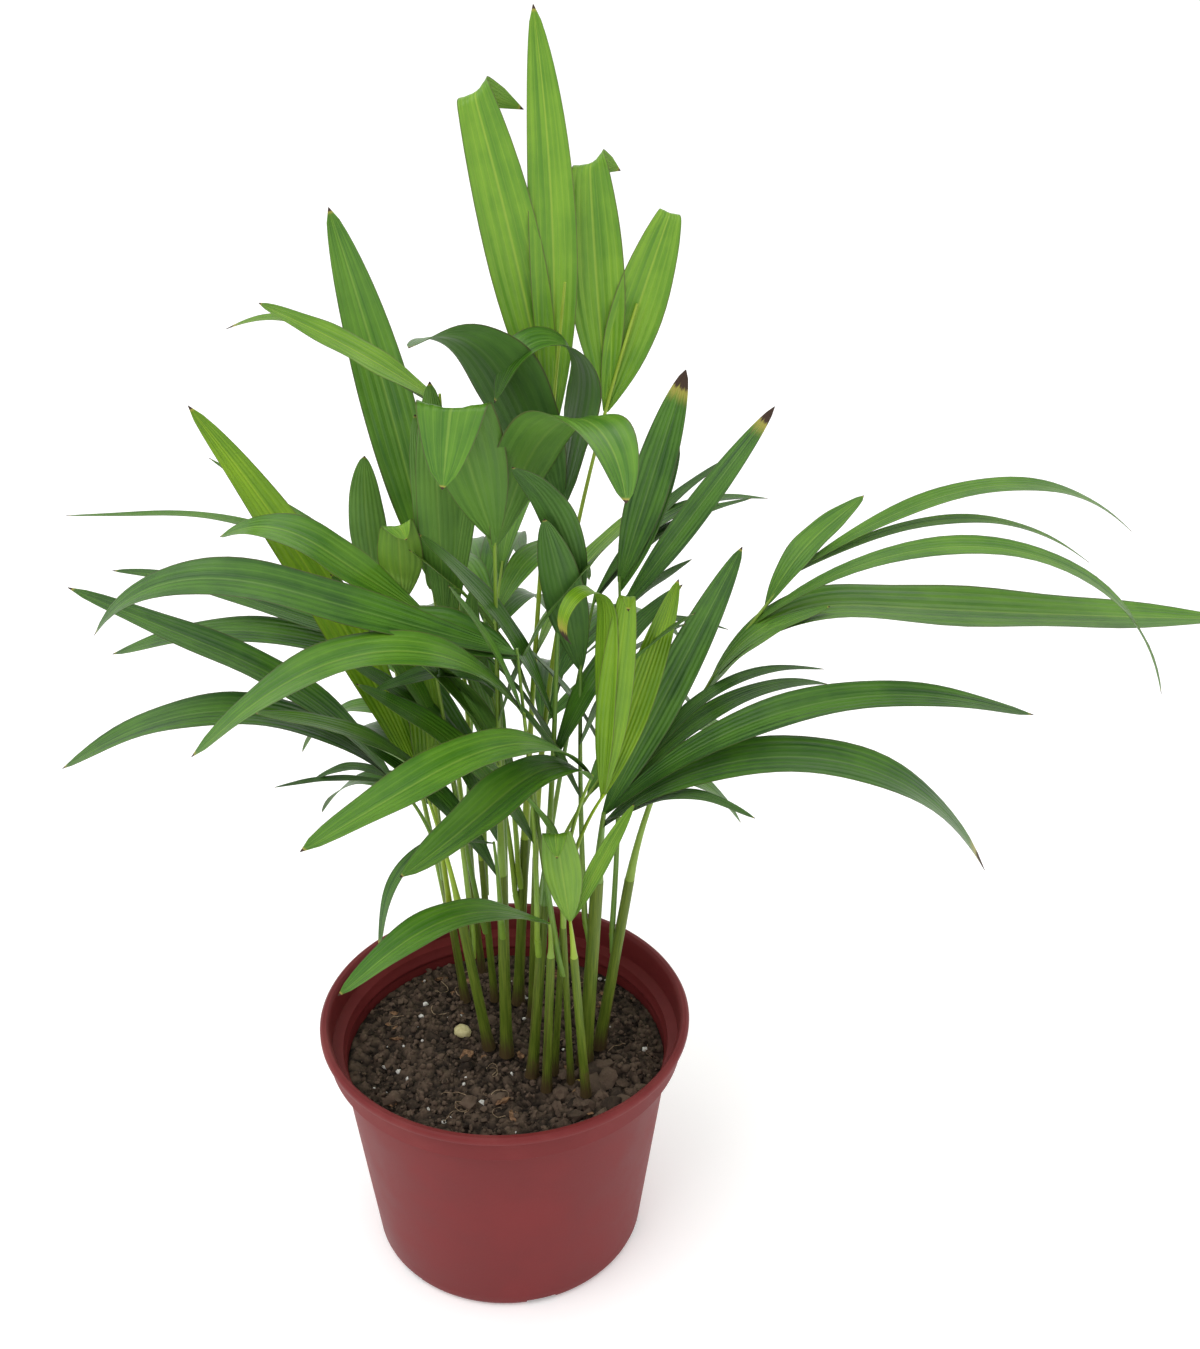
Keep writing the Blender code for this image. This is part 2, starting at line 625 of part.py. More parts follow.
def make_frond(frond, stem, foot):
    """A petiole with its leaflets fused on."""
    centre, thick, thin = petiole_curve(frond, stem, foot)
    shares = [i / 8 for i in range(9)]
    centres = [centre(share) for share in shares]
    radii = [thick + (thin - thick) * share for share in shares]
    points, faces = tube_body(centres, radii, PETIOLE_SIDES)
    petiole = mesh_object(frond.name, points, faces, frond.colour)
    leaflets = []
    for i, leaf in enumerate(frond.leaves):
        share = min(leaf.at, 0.985) - 0.012 * i
        leaf_points, leaf_faces = leaf_body(leaf, centre(share))
        leaflets.append(mesh_object(f"{frond.name}_leaflet_{i}", leaf_points, leaf_faces, frond.colour))
    fuse(petiole, leaflets)
    return petiole


def main():
    for item in list(bpy.data.objects):
        bpy.data.objects.remove(item)
    make_pot()
    soil = make_soil()
    feet = make_stems(soil)
    stems = {stem.name: stem for stem in STEMS}
    for frond in FRONDS:
        make_frond(frond, stems[frond.stem], feet[frond.stem])


main()
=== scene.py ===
"""Looks of a potted areca palm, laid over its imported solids.

Metres, +Z up, origin at the centre of the pot's underside, front towards -Y. The canes and fronds
follow the same rule as the solids: a leaflet grows from a heading, a rise, a length and a droop.
The tables of canes and fronds are in mm and degrees.
"""
import math
import random
from typing import NamedTuple

import bmesh
import bpy
import numpy as np
from mathutils import Matrix, Vector, noise


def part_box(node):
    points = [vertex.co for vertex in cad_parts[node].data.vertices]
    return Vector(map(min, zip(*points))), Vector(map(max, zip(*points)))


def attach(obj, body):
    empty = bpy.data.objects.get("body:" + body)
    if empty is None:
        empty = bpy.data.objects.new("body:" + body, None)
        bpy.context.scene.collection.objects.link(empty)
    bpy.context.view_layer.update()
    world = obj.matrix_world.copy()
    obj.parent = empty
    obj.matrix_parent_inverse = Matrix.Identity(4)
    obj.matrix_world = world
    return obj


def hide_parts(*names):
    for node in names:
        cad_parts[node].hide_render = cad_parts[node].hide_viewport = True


bl_info = {
    "name": "Potted areca palm looks",
    "version": (1, 0, 0),
    "blender": (4, 5, 0),
    "location": "View3D > Sidebar > Palm",
    "description": "Pot, soil, canes, fronds and stage of a potted areca palm",
    "category": "Object",
}

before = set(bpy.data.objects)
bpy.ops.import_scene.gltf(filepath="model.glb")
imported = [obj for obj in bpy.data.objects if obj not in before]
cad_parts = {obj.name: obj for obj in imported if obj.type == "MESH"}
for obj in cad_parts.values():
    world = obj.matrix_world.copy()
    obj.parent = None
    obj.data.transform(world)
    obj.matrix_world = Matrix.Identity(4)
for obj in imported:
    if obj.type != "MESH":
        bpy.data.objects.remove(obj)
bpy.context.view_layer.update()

MM = 0.001
CLEARANCE = 0.0003
SEED = 11

# Camera at the photograph's angle, for an image of 1200 x 1349
CAMERA_PLACE = (0.0, -0.556, 0.566)
CAMERA_YAW = 0.0746
CAMERA_PITCH = 0.467
CAMERA_ROLL = 0.0067
CAMERA_LENS_MM = 46.5
SENSOR_WIDTH_MM = 36.0
VIEW_GAMMA = 0.93

# Stage: name, place, side and the power, key or fill, of each soft light
FLOOR_SIZE = 60.0
FLOOR_DROP = 0.0002
FLOOR_GLOW = 0.18
LIGHT_AIM = (0.02, 0.0, 0.25)
LIGHTS = (
    ("key_light", (-0.9, -0.7, 1.9), 1.6, "key"),
    ("fill_light", (1.1, -1.6, 1.0), 1.2, "fill"),
    ("back_light", (0.3, 1.5, 1.7), 1.4, "fill"),
)

# Pot and soil, as in the solids
FOOT_RADIUS = 0.0626
WALL_TOP_RADIUS = 0.0745
COLLAR_RADIUS = 0.0794
COLLAR_BOTTOM = 0.1035
RIM_RADIUS = 0.0825
POT_HEIGHT = 0.118
WALL = 0.0013
FLOOR = 0.0018
SLOT_COUNT = 6
SLOT_TURN = math.radians(-78)
SLOT_INNER_RADIUS = 0.051
SLOT_OUTER_RADIUS = 0.070
SLOT_WIDTH = 0.0135
SLOT_HEIGHT = 0.0030
SOIL_LEVEL = 0.0935
WALL_GAP = 0.0004
SETTLED_EDGE = 0.008
SKIRT_DEPTH = 0.008
SOIL_CELLS = ((0.0075, 0.55), (0.0032, 0.30), (0.0015, 0.15))
CRACK_DEPTH = 0.0042
ROUGHNESS_SCALE = 420.0
ROUGHNESS_HEIGHT = 0.0008
PEBBLE_PLACE = (-0.020, 0.012)
SEED_PLACE = (0.0316, -0.0236)

# Blades
KEEL_RATIO = 0.16
FINE_STEPS = 144
BLADE_THICKNESS = 0.00042
BLADE_FULLNESS = 1.20


class Stem(NamedTuple):
    """A cane: where it leaves the soil, how it leans and how long and thick it is (mm, deg)."""
    name: str
    x: float
    y: float
    lean_to: float
    lean: float
    length: float
    width: float


class Leaf(NamedTuple):
    """One leaflet: where on the petiole it starts, then heading, rise, length, width and bend."""
    at: float
    heading: float
    rise: float
    length: float
    width: float
    droop: float = 40
    bend_at: float = 0.5
    bend_over: float = 1.0
    lean: float = 0
    sweep: float = 0
    roll: float = 0
    twist: float = 0
    crease: float = 0
    belly: float = 0.46


class Frond(NamedTuple):
    """A petiole from a stem (up: share of the stem's length) to an end point (mm), and its leaflets."""
    name: str
    stem: str
    up: float
    end: tuple
    colour: str
    leaves: tuple
    thick: float = 2.6
    bow: float = 0.5


def spray(heading, rise, length, width, droop, pairs):
    """Leaflets of a frond on the hidden side: pairs that open wider and hang lower down its stalk."""
    leaves = []
    for pair in range(pairs):
        for side in (-1, 1):
            leaves.append(Leaf(
                at=1.0 - 0.14 * pair - 0.03 * (side > 0),
                heading=heading + side * (10 + 18 * pair),
                rise=rise - 9 * pair,
                length=length * (1.0 - 0.08 * pair),
                width=width,
                droop=droop,
                bend_at=0.45,
                bend_over=1.3,
            ))
    return tuple(leaves)


STEMS = (
    Stem("stem_left_back", -19, 36, 180, 6, 70, 4.0),
    Stem("stem_left_front", -8, 1, 180, 8, 78, 5.0),
    Stem("stem_centre_front", 0, -5, 90, 1, 96, 5.4),
    Stem("stem_left_inner", -5, 35, 180, 3, 80, 3.4),
    Stem("stem_far_back", -11, 58, 170, 4, 82, 3.4),
    Stem("stem_centre_back", 6, 32, 0, 3, 92, 5.0),
    Stem("stem_middle", 11, -19, 0, 4, 92, 5.0),
    Stem("stem_middle_back", 12, 22, 0, 2, 88, 3.4),
    Stem("stem_front_left", 17, -28, 0, 2, 72, 4.2),
    Stem("stem_front", 21, -19, 0, 3, 84, 3.2),
    Stem("stem_front_thin", 28, -25, 180, 2, 84, 3.0),
    Stem("stem_nearest", 34, -37, 180, 4, 74, 4.0),
    Stem("stem_thick", 35, -12, 0, 3, 98, 6.4),
    Stem("stem_right", 42, -2, 0, 8, 92, 5.2),
)

FRONDS = (
    Frond("frond_top_left", "stem_centre_back", 1.0, (29, 18, 438), "bright", (
        Leaf(0.76, 90, 86, 151, 18, 165, 0.86, 0.10, lean=9, sweep=7, crease=-25),
        Leaf(0.76, 90, 88, 157, 15, 8, lean=-4, sweep=11),
    )),
    Frond("frond_top_right", "stem_middle_back", 1.0, (57, 30, 427), "bright", (
        Leaf(0.84, 90, 86, 106, 18, 150, 0.86, 0.10, lean=6, sweep=-4, crease=-30),
        Leaf(0.84, 90, 86, 86, 17, 130, 0.92, 0.10, lean=-17, sweep=-2),
    )),
    Frond("frond_arch_back", "stem_middle", 1.0, (27, 11, 384), "dark", (
        Leaf(0.86, 243, 76, 115, 26, 86, 0.70, 0.70, lean=-13, sweep=-10),
        Leaf(0.86, 200, 100, 112, 24, 175, 0.68, 0.60, lean=4),
    )),
    Frond("frond_arch_front", "stem_centre_front", 1.0, (1, -12, 386), "mid", (
        Leaf(0.80, 262, 74, 96, 24, 160, 0.67, 0.12, lean=-12, sweep=6, crease=-8),
        Leaf(0.80, 298, 80, 126, 26, 143, 0.72, 1.30, lean=15, sweep=-11),
    )),
    Frond("frond_left_spear", "stem_far_back", 1.0, (-26, 42, 311), "mid", (
        Leaf(1.0, 92, 86, 154, 18, 10, lean=9, sweep=7),
        Leaf(1.0, 100, 84, 104, 10, 10, lean=13, sweep=3),
    )),
    Frond("frond_left_high", "stem_left_inner", 1.0, (-19, 30, 393), "bright", (
        Leaf(1.0, 188, 38, 77, 13, 14, roll=-25),
        Leaf(1.0, 178, 36, 92, 8, 62, 0.75, 0.6, roll=-10),
    )),
    Frond("frond_left_tuft", "stem_left_back", 0.85, (-48, 50, 297), "mid", (
        Leaf(1.0, 262, 84, 78, 13, 20, lean=-8, sweep=18),
        Leaf(1.0, 165, 66, 98, 6, 35, 0.3, 0.4),
        Leaf(1.0, 168, 51, 150, 6, 56, 0.35, 0.9),
    )),
    Frond("frond_left_broad", "stem_centre_back", 0.70, (-22, 22, 305), "mid", (
        Leaf(1.0, 262, 85, 90, 11, 8, lean=-3),
        Leaf(1.0, 268, 84, 108, 14, 12),
        Leaf(0.95, 262, 86, 100, 8, 10, lean=6, sweep=10),
    )),
    Frond("frond_left_stub", "stem_left_back", 0.95, (-37, 20, 313), "bright", (
        Leaf(1.0, 268, 84, 44, 15, 150, 0.82, 0.16, crease=15),
    )),
    Frond("frond_left_bright", "stem_left_front", 1.0, (-31, 5, 230), "young", (
        Leaf(1.0, 120, 66, 186, 16, 17, 0.64, 1.2, lean=10, sweep=12),
        Leaf(1.0, 105, 80, 66, 12, 8, lean=-8, sweep=12),
    )),
    Frond("frond_left_inner", "stem_left_front", 0.80, (-28, 8, 312), "mid", (
        Leaf(1.0, 172, 36, 95, 18, 70, 0.74, 0.6, roll=-15),
    )),
    Frond("frond_left_back", "stem_left_inner", 0.65, (-26, 30, 281), "dark", (
        Leaf(1.0, 168, 16, 142, 10, 20, 0.85, 0.5, roll=-10),
        Leaf(0.97, 172, 13, 148, 14, 38, 0.6, 0.7, roll=-15),
    )),
    Frond("frond_left_low", "stem_left_back", 1.0, (-46, 24, 225), "dark", (
        Leaf(1.0, 196, 64, 160, 16, 40, 0.3, 0.8, roll=-25),
        Leaf(1.0, 200, 60, 160, 18, 98, 0.4, 1.3, roll=-20),
        Leaf(0.98, 190, 18, 52, 4, 25),
        Leaf(0.98, 185, 46, 40, 6, 76),
    )),
    Frond("frond_left_wide", "stem_middle", 0.85, (10, -37, 288), "mid", (
        Leaf(1.0, 200, 68, 150, 20, 112, 0.25, 1.5, roll=-10),
        Leaf(1.0, 175, 74, 62, 7, 20),
    )),
    Frond("frond_cross", "stem_front_thin", 0.85, (8, -24, 309), "dark", (
        Leaf(1.0, 186, 22, 176, 16, 84, 0.80, 0.7, roll=-20),
        Leaf(1.0, 176, 30, 60, 18, 35, roll=-20),
    )),
    Frond("frond_front_pair", "stem_front_thin", 1.0, (36, -39, 261), "mid", (
        Leaf(1.0, 216, 60, 146, 19, 66, 0.2, 0.95, sweep=10),
        Leaf(1.0, 222, 57, 99, 20, 80, 0.2, 0.8, sweep=-12),
    )),
    Frond("frond_rim", "stem_front_left", 1.0, (19, -29, 185), "mid", (
        Leaf(1.0, 215, 38, 109, 16, 62, 0.5, 0.85),
    )),
    Frond("frond_hanging", "stem_centre_front", 0.80, (-3, -16, 217), "dark", (
        Leaf(1.0, 215, 28, 86, 6, 108, 0.5, 0.75),
    )),
    Frond("frond_inner_left", "stem_centre_front", 0.70, (1, 2, 276), "dark", (
        Leaf(1.0, 190, 66, 58, 12, 84, 0.25, 1.2),
    )),
    Frond("frond_young", "stem_front", 1.0, (41, -35, 250), "young", (
        Leaf(1.0, 220, 88, 128, 10, 225, 0.84, 0.5, lean=3),
        Leaf(1.0, 268, 84, 102, 13, 120, 0.92, 0.12, lean=5),
        Leaf(1.0, 80, 80, 92, 12, 20, lean=-18, sweep=2),
    )),
    Frond("frond_right_low", "stem_thick", 1.0, (42, -20, 232), "dark", (
        Leaf(1.0, 78, 76, 122, 13, 12, lean=-24),
        Leaf(1.0, -8, 48, 208, 14, 74, 0.4, 1.1, roll=25),
        Leaf(0.8, -18, 52, 206, 19, 118, 0.4, 1.5, roll=20),
        Leaf(1.0, 10, 54, 124, 8, 80, 0.6, 1.3, roll=20),
        Leaf(1.0, 14, 54, 124, 6, 72, 0.6, 0.8, roll=10),
        Leaf(0.9, -22, 36, 70, 7, 58, 0.6, 0.7),
    ), thick=4.4),
    Frond("frond_right_long", "stem_right", 1.0, (126, 14, 328), "mid", (
        Leaf(0.62, -14, 67, 240, 19, 75, 0.15, 0.4, roll=20),
        Leaf(0.80, -14, 45, 222, 11, 118, 0.55, 1.5, roll=15),
        Leaf(1.0, 8, 33, 180, 9, 75, 0.55, 1.3, roll=15),
        Leaf(1.0, 8, 28, 150, 6, 66, 0.5, 1.3, roll=10),
        Leaf(0.90, 40, 60, 64, 11, 38, 0.4, 0.8, lean=-8),
        Leaf(0.62, -15, 64, 70, 12, 44, roll=10),
    )),
    Frond("frond_right_spears", "stem_right", 0.70, (50, 13, 322), "dark", (
        Leaf(1.0, 78, 82, 88, 13, 5, lean=-15),
        Leaf(0.92, 75, 76, 102, 9, 12, lean=-33),
        Leaf(1.0, 78, 80, 62, 8, 10, lean=-20),
    )),
    Frond("frond_right_fan", "stem_middle_back", 0.80, (41, 20, 312), "dark", (
        Leaf(1.0, 20, 57, 93, 8, 70),
        Leaf(1.0, 12, 53, 80, 7, 46),
        Leaf(1.0, 30, 54, 86, 6, 34),
        Leaf(0.9, 5, 44, 54, 8, 15),
        Leaf(0.85, -8, 45, 66, 5, 62),
    )),
    Frond("frond_centre_dark", "stem_thick", 0.80, (34, -8, 323), "dark", (
        Leaf(1.0, 256, 84, 82, 12, 46, lean=-8, sweep=-12),
        Leaf(0.8, 262, 86, 72, 14, 16, lean=-10),
    )),
    Frond("frond_front_small", "stem_nearest", 1.0, (27, -42, 195), "bright", (
        Leaf(1.0, 262, 84, 59, 13, 160, 0.82, 0.16, lean=-6),
        Leaf(1.0, 82, 80, 56, 6, 10, lean=-22, sweep=-8),
    )),
    Frond("frond_inner_up", "stem_centre_back", 0.85, (-2, 16, 268), "mid", (
        Leaf(1.0, 262, 84, 58, 7, 10, lean=-22, sweep=34),
    )),
    Frond("frond_back_left", "stem_left_back", 0.60, (-30, 76, 196), "dark", spray(122, 42, 88, 13, 95, 2)),
    Frond("frond_back_outer_left", "stem_far_back", 0.60, (-30, 96, 226), "mid",
          spray(126, 45, 105, 14, 100, 2)),
    Frond("frond_back_middle", "stem_far_back", 0.80, (-4, 112, 264), "dark", spray(88, 50, 110, 14, 105, 2)),
    Frond("frond_back_high", "stem_left_inner", 0.90, (4, 80, 302), "mid", spray(84, 58, 110, 14, 110, 2)),
    Frond("frond_back_right", "stem_centre_back", 0.60, (26, 92, 234), "dark",
          spray(56, 48, 115, 14, 100, 2)),
    Frond("frond_back_outer_right", "stem_middle_back", 0.60, (52, 56, 212), "mid",
          spray(28, 42, 90, 14, 95, 2)),
)


# Petioles, canes and blades
PETIOLE_SIDES = 12
SHEATH_RUN = 0.012
CANE_RINGS = 70
CANE_SCARS = (0.045, 0.085, 0.14)
SCAR_WIDTH = 0.006
SHEATH_STEP = 0.075
SHEATH_EDGE = 0.035
PLEAT_RATIO = 0.018
WAVE_RATIO = 0.045
NARROWEST_HALF = 0.00012

# Share of a leaflet's length that has dried at its tip
SMALL_TIP = 0.010
DRY_TIPS = {
    ("frond_right_spears", 0): 0.085,
    ("frond_right_spears", 1): 0.075,
    ("frond_young", 0): 0.060,
    ("frond_right_low", 2): 0.050,
    ("frond_left_high", 1): 0.035,
    ("frond_hanging", 0): 0.040,
}

# Finer leaflets inside the crown, on the same petioles, where the solids leave it open
INNER_LEAVES = {
    "frond_inner_left": (Leaf(0.55, 176, 62, 95, 15, 30), Leaf(0.35, 150, 72, 100, 16, 20)),
    "frond_left_inner": (Leaf(0.42, 200, 58, 105, 16, 40), Leaf(0.60, 160, 70, 90, 14, 25)),
    "frond_centre_dark": (Leaf(0.42, 205, 68, 95, 15, 25), Leaf(0.60, 330, 70, 85, 13, 30)),
    "frond_inner_up": (Leaf(0.45, 230, 74, 95, 15, 25), Leaf(0.70, 140, 75, 80, 14, 20)),
    "frond_hanging": (Leaf(0.55, 165, 64, 85, 13, 35),),
    "frond_arch_front": (Leaf(0.30, 190, 70, 95, 15, 35), Leaf(0.42, 345, 74, 90, 14, 25)),
    "frond_arch_back": (Leaf(0.36, 20, 68, 90, 14, 35), Leaf(0.46, 172, 72, 95, 15, 30)),
    "frond_left_wide": (Leaf(0.45, 168, 64, 100, 15, 40),),
    "frond_front_pair": (Leaf(0.45, 205, 70, 80, 14, 30),),
    "frond_top_left": (Leaf(0.30, 200, 72, 95, 14, 30), Leaf(0.40, 10, 70, 85, 13, 35)),
    "frond_right_fan": (Leaf(0.50, 200, 72, 80, 13, 25), Leaf(0.65, 330, 66, 80, 12, 35)),
    "frond_right_spears": (Leaf(0.45, 190, 74, 85, 12, 25),),
}

# Leaflets that the photograph shows broader than the rest
BROADER = {
    ("frond_right_long", 0): 1.35,
    ("frond_cross", 0): 1.15,
    ("frond_left_wide", 0): 1.10,
    ("frond_young", 1): 0.85,
    ("frond_young", 2): 0.90,
}

# Mounds of the soil: x, y, rise, reach
SOIL_MOUNDS = (
    (0.040, -0.042, 0.0060, 0.013), (0.056, -0.016, 0.0048, 0.012), (0.020, -0.056, 0.0040, 0.012),
    (-0.042, 0.030, 0.0030, 0.018), (-0.030, -0.040, 0.0022, 0.016), (0.046, 0.026, 0.0030, 0.014),
    (-0.056, -0.008, -0.0026, 0.013), (0.006, 0.050, 0.0020, 0.018), (0.012, 0.000, 0.0022, 0.030),
)
FRONT_LUMP_COUNT = 26
FRONT_LUMPS = tuple(
    (0.040 + 0.020 * math.cos(2.4 * i) * (i / FRONT_LUMP_COUNT) ** 0.5,
     -0.032 + 0.024 * math.sin(2.4 * i) * (i / FRONT_LUMP_COUNT) ** 0.5)
    for i in range(FRONT_LUMP_COUNT)
)

# Greens of the foliage: deep, light, rib, underside, petiole
GREENS = {
    "young": ((0.10, 0.23, 0.003), (0.21, 0.37, 0.008), (0.30, 0.44, 0.02), (0.16, 0.31, 0.015),
              (0.22, 0.33, 0.02)),
    "bright": ((0.085, 0.225, 0.010), (0.19, 0.36, 0.022), (0.32, 0.45, 0.05), (0.18, 0.31, 0.05),
               (0.25, 0.34, 0.03)),
    "mid": ((0.044, 0.150, 0.009), (0.118, 0.270, 0.018), (0.23, 0.37, 0.055), (0.13, 0.25, 0.055),
            (0.20, 0.30, 0.03)),
    "dark": ((0.020, 0.082, 0.009), (0.080, 0.210, 0.015), (0.15, 0.28, 0.055), (0.09, 0.18, 0.050),
             (0.17, 0.27, 0.03)),
}


def smooth_step(value):
    value = min(max(value, 0.0), 1.0)
    return value * value * (3.0 - 2.0 * value)


def turn(axis, angle, *vectors):
    rotation = Matrix.Rotation(angle, 3, axis)
    return [rotation @ vector for vector in vectors]


def leaf_frames(leaf, steps=FINE_STEPS):
    """Point, direction, width direction and face normal along a leaflet that starts at the origin."""
    heading, rise = math.radians(leaf.heading), math.radians(leaf.rise)
    along = Vector((math.cos(rise) * math.cos(heading), math.cos(rise) * math.sin(heading), math.sin(rise)))
    across = Vector((-math.sin(heading), math.cos(heading), 0.0))
    face = along.cross(across)
    along, across = turn(face, math.radians(leaf.lean), along, across)
    across, face = turn(along, math.radians(leaf.roll), across, face)
    start = leaf.bend_at - leaf.bend_over / 2
    bend = [smooth_step((i / steps - start) / leaf.bend_over) for i in range(steps + 1)]
    total = max(bend[-1] - bend[0], 1e-6)
    tilt = math.radians(leaf.crease)
    point = Vector((0.0, 0.0, 0.0))
    frames = [(point.copy(), along, across, face)]
    for i in range(steps):
        droop = math.radians(leaf.droop) * (bend[i + 1] - bend[i]) / total
        crease = across * math.cos(tilt) + along * math.sin(tilt)
        along, across, face = turn(crease, droop, along, across, face)
        along, across = turn(face, math.radians(leaf.sweep) / steps, along, across)
        across, face = turn(along, math.radians(leaf.twist) / steps, across, face)
        point = point + along * (leaf.length * MM / steps)
        frames.append((point.copy(), along, across, face))
    return frames


def station_steps(frames, stations):
    """Steps at which a leaflet is cut into stations, closer together where it bends."""
    cost = [0.0]
    for before, after in zip(frames, frames[1:]):
        turned = before[1].angle(after[1], 0.0)
        cost.append(cost[-1] + 1.0 / len(frames) + turned / math.pi)
    wanted = [cost[-1] * i / stations for i in range(stations + 1)]
    return sorted({min(range(len(cost)), key=lambda k: abs(cost[k] - want)) for want in wanted})


def leaf_outline(share, belly):
    """Half width of a leaflet as a share of its greatest half width: narrow foot, strap, pointed tip."""
    if share < belly:
        return 0.10 + 0.90 * math.sin(math.pi / 2 * share / belly) ** 0.9
    return math.cos(math.pi / 2 * (share - belly) / (1 - belly)) ** 0.62


def stem_direction(stem):
    lean, toward = math.radians(stem.lean), math.radians(stem.lean_to)
    return Vector((math.sin(lean) * math.cos(toward), math.sin(lean) * math.sin(toward), math.cos(lean)))


def stem_radius(stem, share):
    """Foot a third wider than the cane, then a slow taper."""
    flare = 0.34 * math.exp(-share / 0.07)
    return stem.width * MM / 2 * (1.0 + flare - 0.16 * share)


def stem_foot(stem):
    return Vector((stem.x * MM, stem.y * MM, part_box(stem.name)[0][2]))


def petiole_line(frond, stem):
    """Centre points and radii of a petiole, drawn out of the cane's sheath at its foot."""
    foot, direction = stem_foot(stem), stem_direction(stem)
    radius = frond.thick * MM / 2
    end = Vector(frond.end) * MM
    if frond.up >= 1.0:
        start = foot + direction * (stem.length * MM + CLEARANCE)
        leave = direction
    else:
        on_axis = foot + direction * (stem.length * MM * frond.up)
        side = end - on_axis
        side = (side - direction * side.dot(direction)).normalized()
        start = on_axis + side * (stem_radius(stem, frond.up) + radius + CLEARANCE)
        leave = (direction + side * 0.10).normalized()
    handle = start + leave * ((end - start).length * frond.bow)

    def centre(share):
        return start * (1 - share) ** 2 + handle * (2 * share * (1 - share)) + end * share ** 2

    shares = [i / 22 for i in range(23)]
    centres = [centre(share) for share in shares]
    radii = [radius * (1.0 - 0.58 * share) for share in shares]
    top_radius = stem_radius(stem, min(frond.up, 1.0))
    if frond.up >= 1.0:
        wider = top_radius * 0.97 - radius
        radii = [thin + wider * math.exp(-share / 0.10) for thin, share in zip(radii, shares)]
        centres.insert(0, start - direction * 0.004)
        radii.insert(0, top_radius * 0.9)
    else:
        axis_foot = foot + direction * (stem.length * MM * frond.up - SHEATH_RUN)
        for i in range(5, 0, -1):
            sunk = i / 5
            rest = start - direction * (SHEATH_RUN * sunk)
            nearest = axis_foot + direction * (SHEATH_RUN * (1 - sunk))
            centres.insert(0, rest.lerp(nearest, 0.55 * smooth_step(sunk) + 0.12 * sunk))
            radii.insert(0, radius * (1.0 + 0.25 * sunk))
    return centre, centres, radii

def clear_selection():
    if bpy.context.mode != "OBJECT":
        bpy.ops.object.mode_set(mode="OBJECT")
    bpy.ops.object.select_all(action="DESELECT")


def node(tree, kind, inputs=None, **settings):
    """Add a node, set it up, and fill its inputs with numbers or with other nodes' outputs."""
    made = tree.nodes.new(kind)
    for key, value in settings.items():
        setattr(made, key, value)
    for key, value in (inputs or {}).items():
        if isinstance(value, bpy.types.NodeSocket):
            tree.links.new(value, made.inputs[key])
        else:
            made.inputs[key].default_value = value
    return made


def maths(tree, operation, *values):
    return node(tree, "ShaderNodeMath", dict(enumerate(values)), operation=operation).outputs[0]


def ramp(tree, value, low, high, to_low=0.0, to_high=1.0):
    """A smooth step from to_low to to_high as value goes from low to high."""
    inputs = {"Value": value, "From Min": low, "From Max": high, "To Min": to_low, "To Max": to_high}
    return node(tree, "ShaderNodeMapRange", inputs, interpolation_type="SMOOTHSTEP").outputs["Result"]


def blend(tree, factor, low, high, kind="MIX"):
    """Mix two colours."""
    low = (*low, 1.0) if isinstance(low, tuple) else low
    high = (*high, 1.0) if isinstance(high, tuple) else high
    made = node(tree, "ShaderNodeMix", {0: factor, 6: low, 7: high}, data_type="RGBA", blend_type=kind)
    return made.outputs[2]


def noise_value(tree, vector, scale, detail=3.0, roughness=0.55):
    inputs = {"Vector": vector, "Scale": scale, "Detail": detail, "Roughness": roughness}
    return node(tree, "ShaderNodeTexNoise", inputs).outputs["Fac"]


def object_place(tree):
    return node(tree, "ShaderNodeTexCoord").outputs["Object"]


def add_bump(tree, shader, height, distance, strength):
    inputs = {"Height": height, "Distance": distance, "Strength": strength}
    bump = node(tree, "ShaderNodeBump", inputs)
    tree.links.new(bump.outputs["Normal"], shader.inputs["Normal"])


def new_material(name, specular=0.5):
    made = bpy.data.materials.new(name)
    made.use_nodes = True
    shader = made.node_tree.nodes["Principled BSDF"]
    shader.inputs["Specular IOR Level"].default_value = specular
    return made, made.node_tree, shader


def new_group(name, inputs, outputs):
    """A shader node group with named sockets; inputs maps a name to its kind and default."""
    group = bpy.data.node_groups.new(name, "ShaderNodeTree")
    for label, (kind, default) in inputs.items():
        socket = group.interface.new_socket(name=label, in_out="INPUT", socket_type=kind)
        socket.default_value = default
    for label, kind in outputs.items():
        group.interface.new_socket(name=label, in_out="OUTPUT", socket_type=kind)
    start = group.nodes.new("NodeGroupInput")
    finish = group.nodes.new("NodeGroupOutput")
    return group, start, finish


def grain_group():
    """Fine surface grain with broad drifts, shared by the pot, the soil and the canes."""
    found = bpy.data.node_groups.get("Grain")
    if found:
        return found
    group, start, finish = new_group(
        "Grain",
        {"Fine Scale": ("NodeSocketFloat", 900.0), "Broad Scale": ("NodeSocketFloat", 30.0)},
        {"Fine": "NodeSocketFloat", "Broad": "NodeSocketFloat"},
    )
    place = object_place(group)
    fine = noise_value(group, place, start.outputs["Fine Scale"], 4.0, 0.6)
    broad = noise_value(group, place, start.outputs["Broad Scale"], 5.0, 0.6)
    group.links.new(fine, finish.inputs["Fine"])
    group.links.new(broad, finish.inputs["Broad"])
    return group


def grain(tree, fine_scale, broad_scale):
    made = node(tree, "ShaderNodeGroup", node_tree=grain_group())
    made.inputs["Fine Scale"].default_value = fine_scale
    made.inputs["Broad Scale"].default_value = broad_scale
    return made.outputs["Fine"], made.outputs["Broad"]


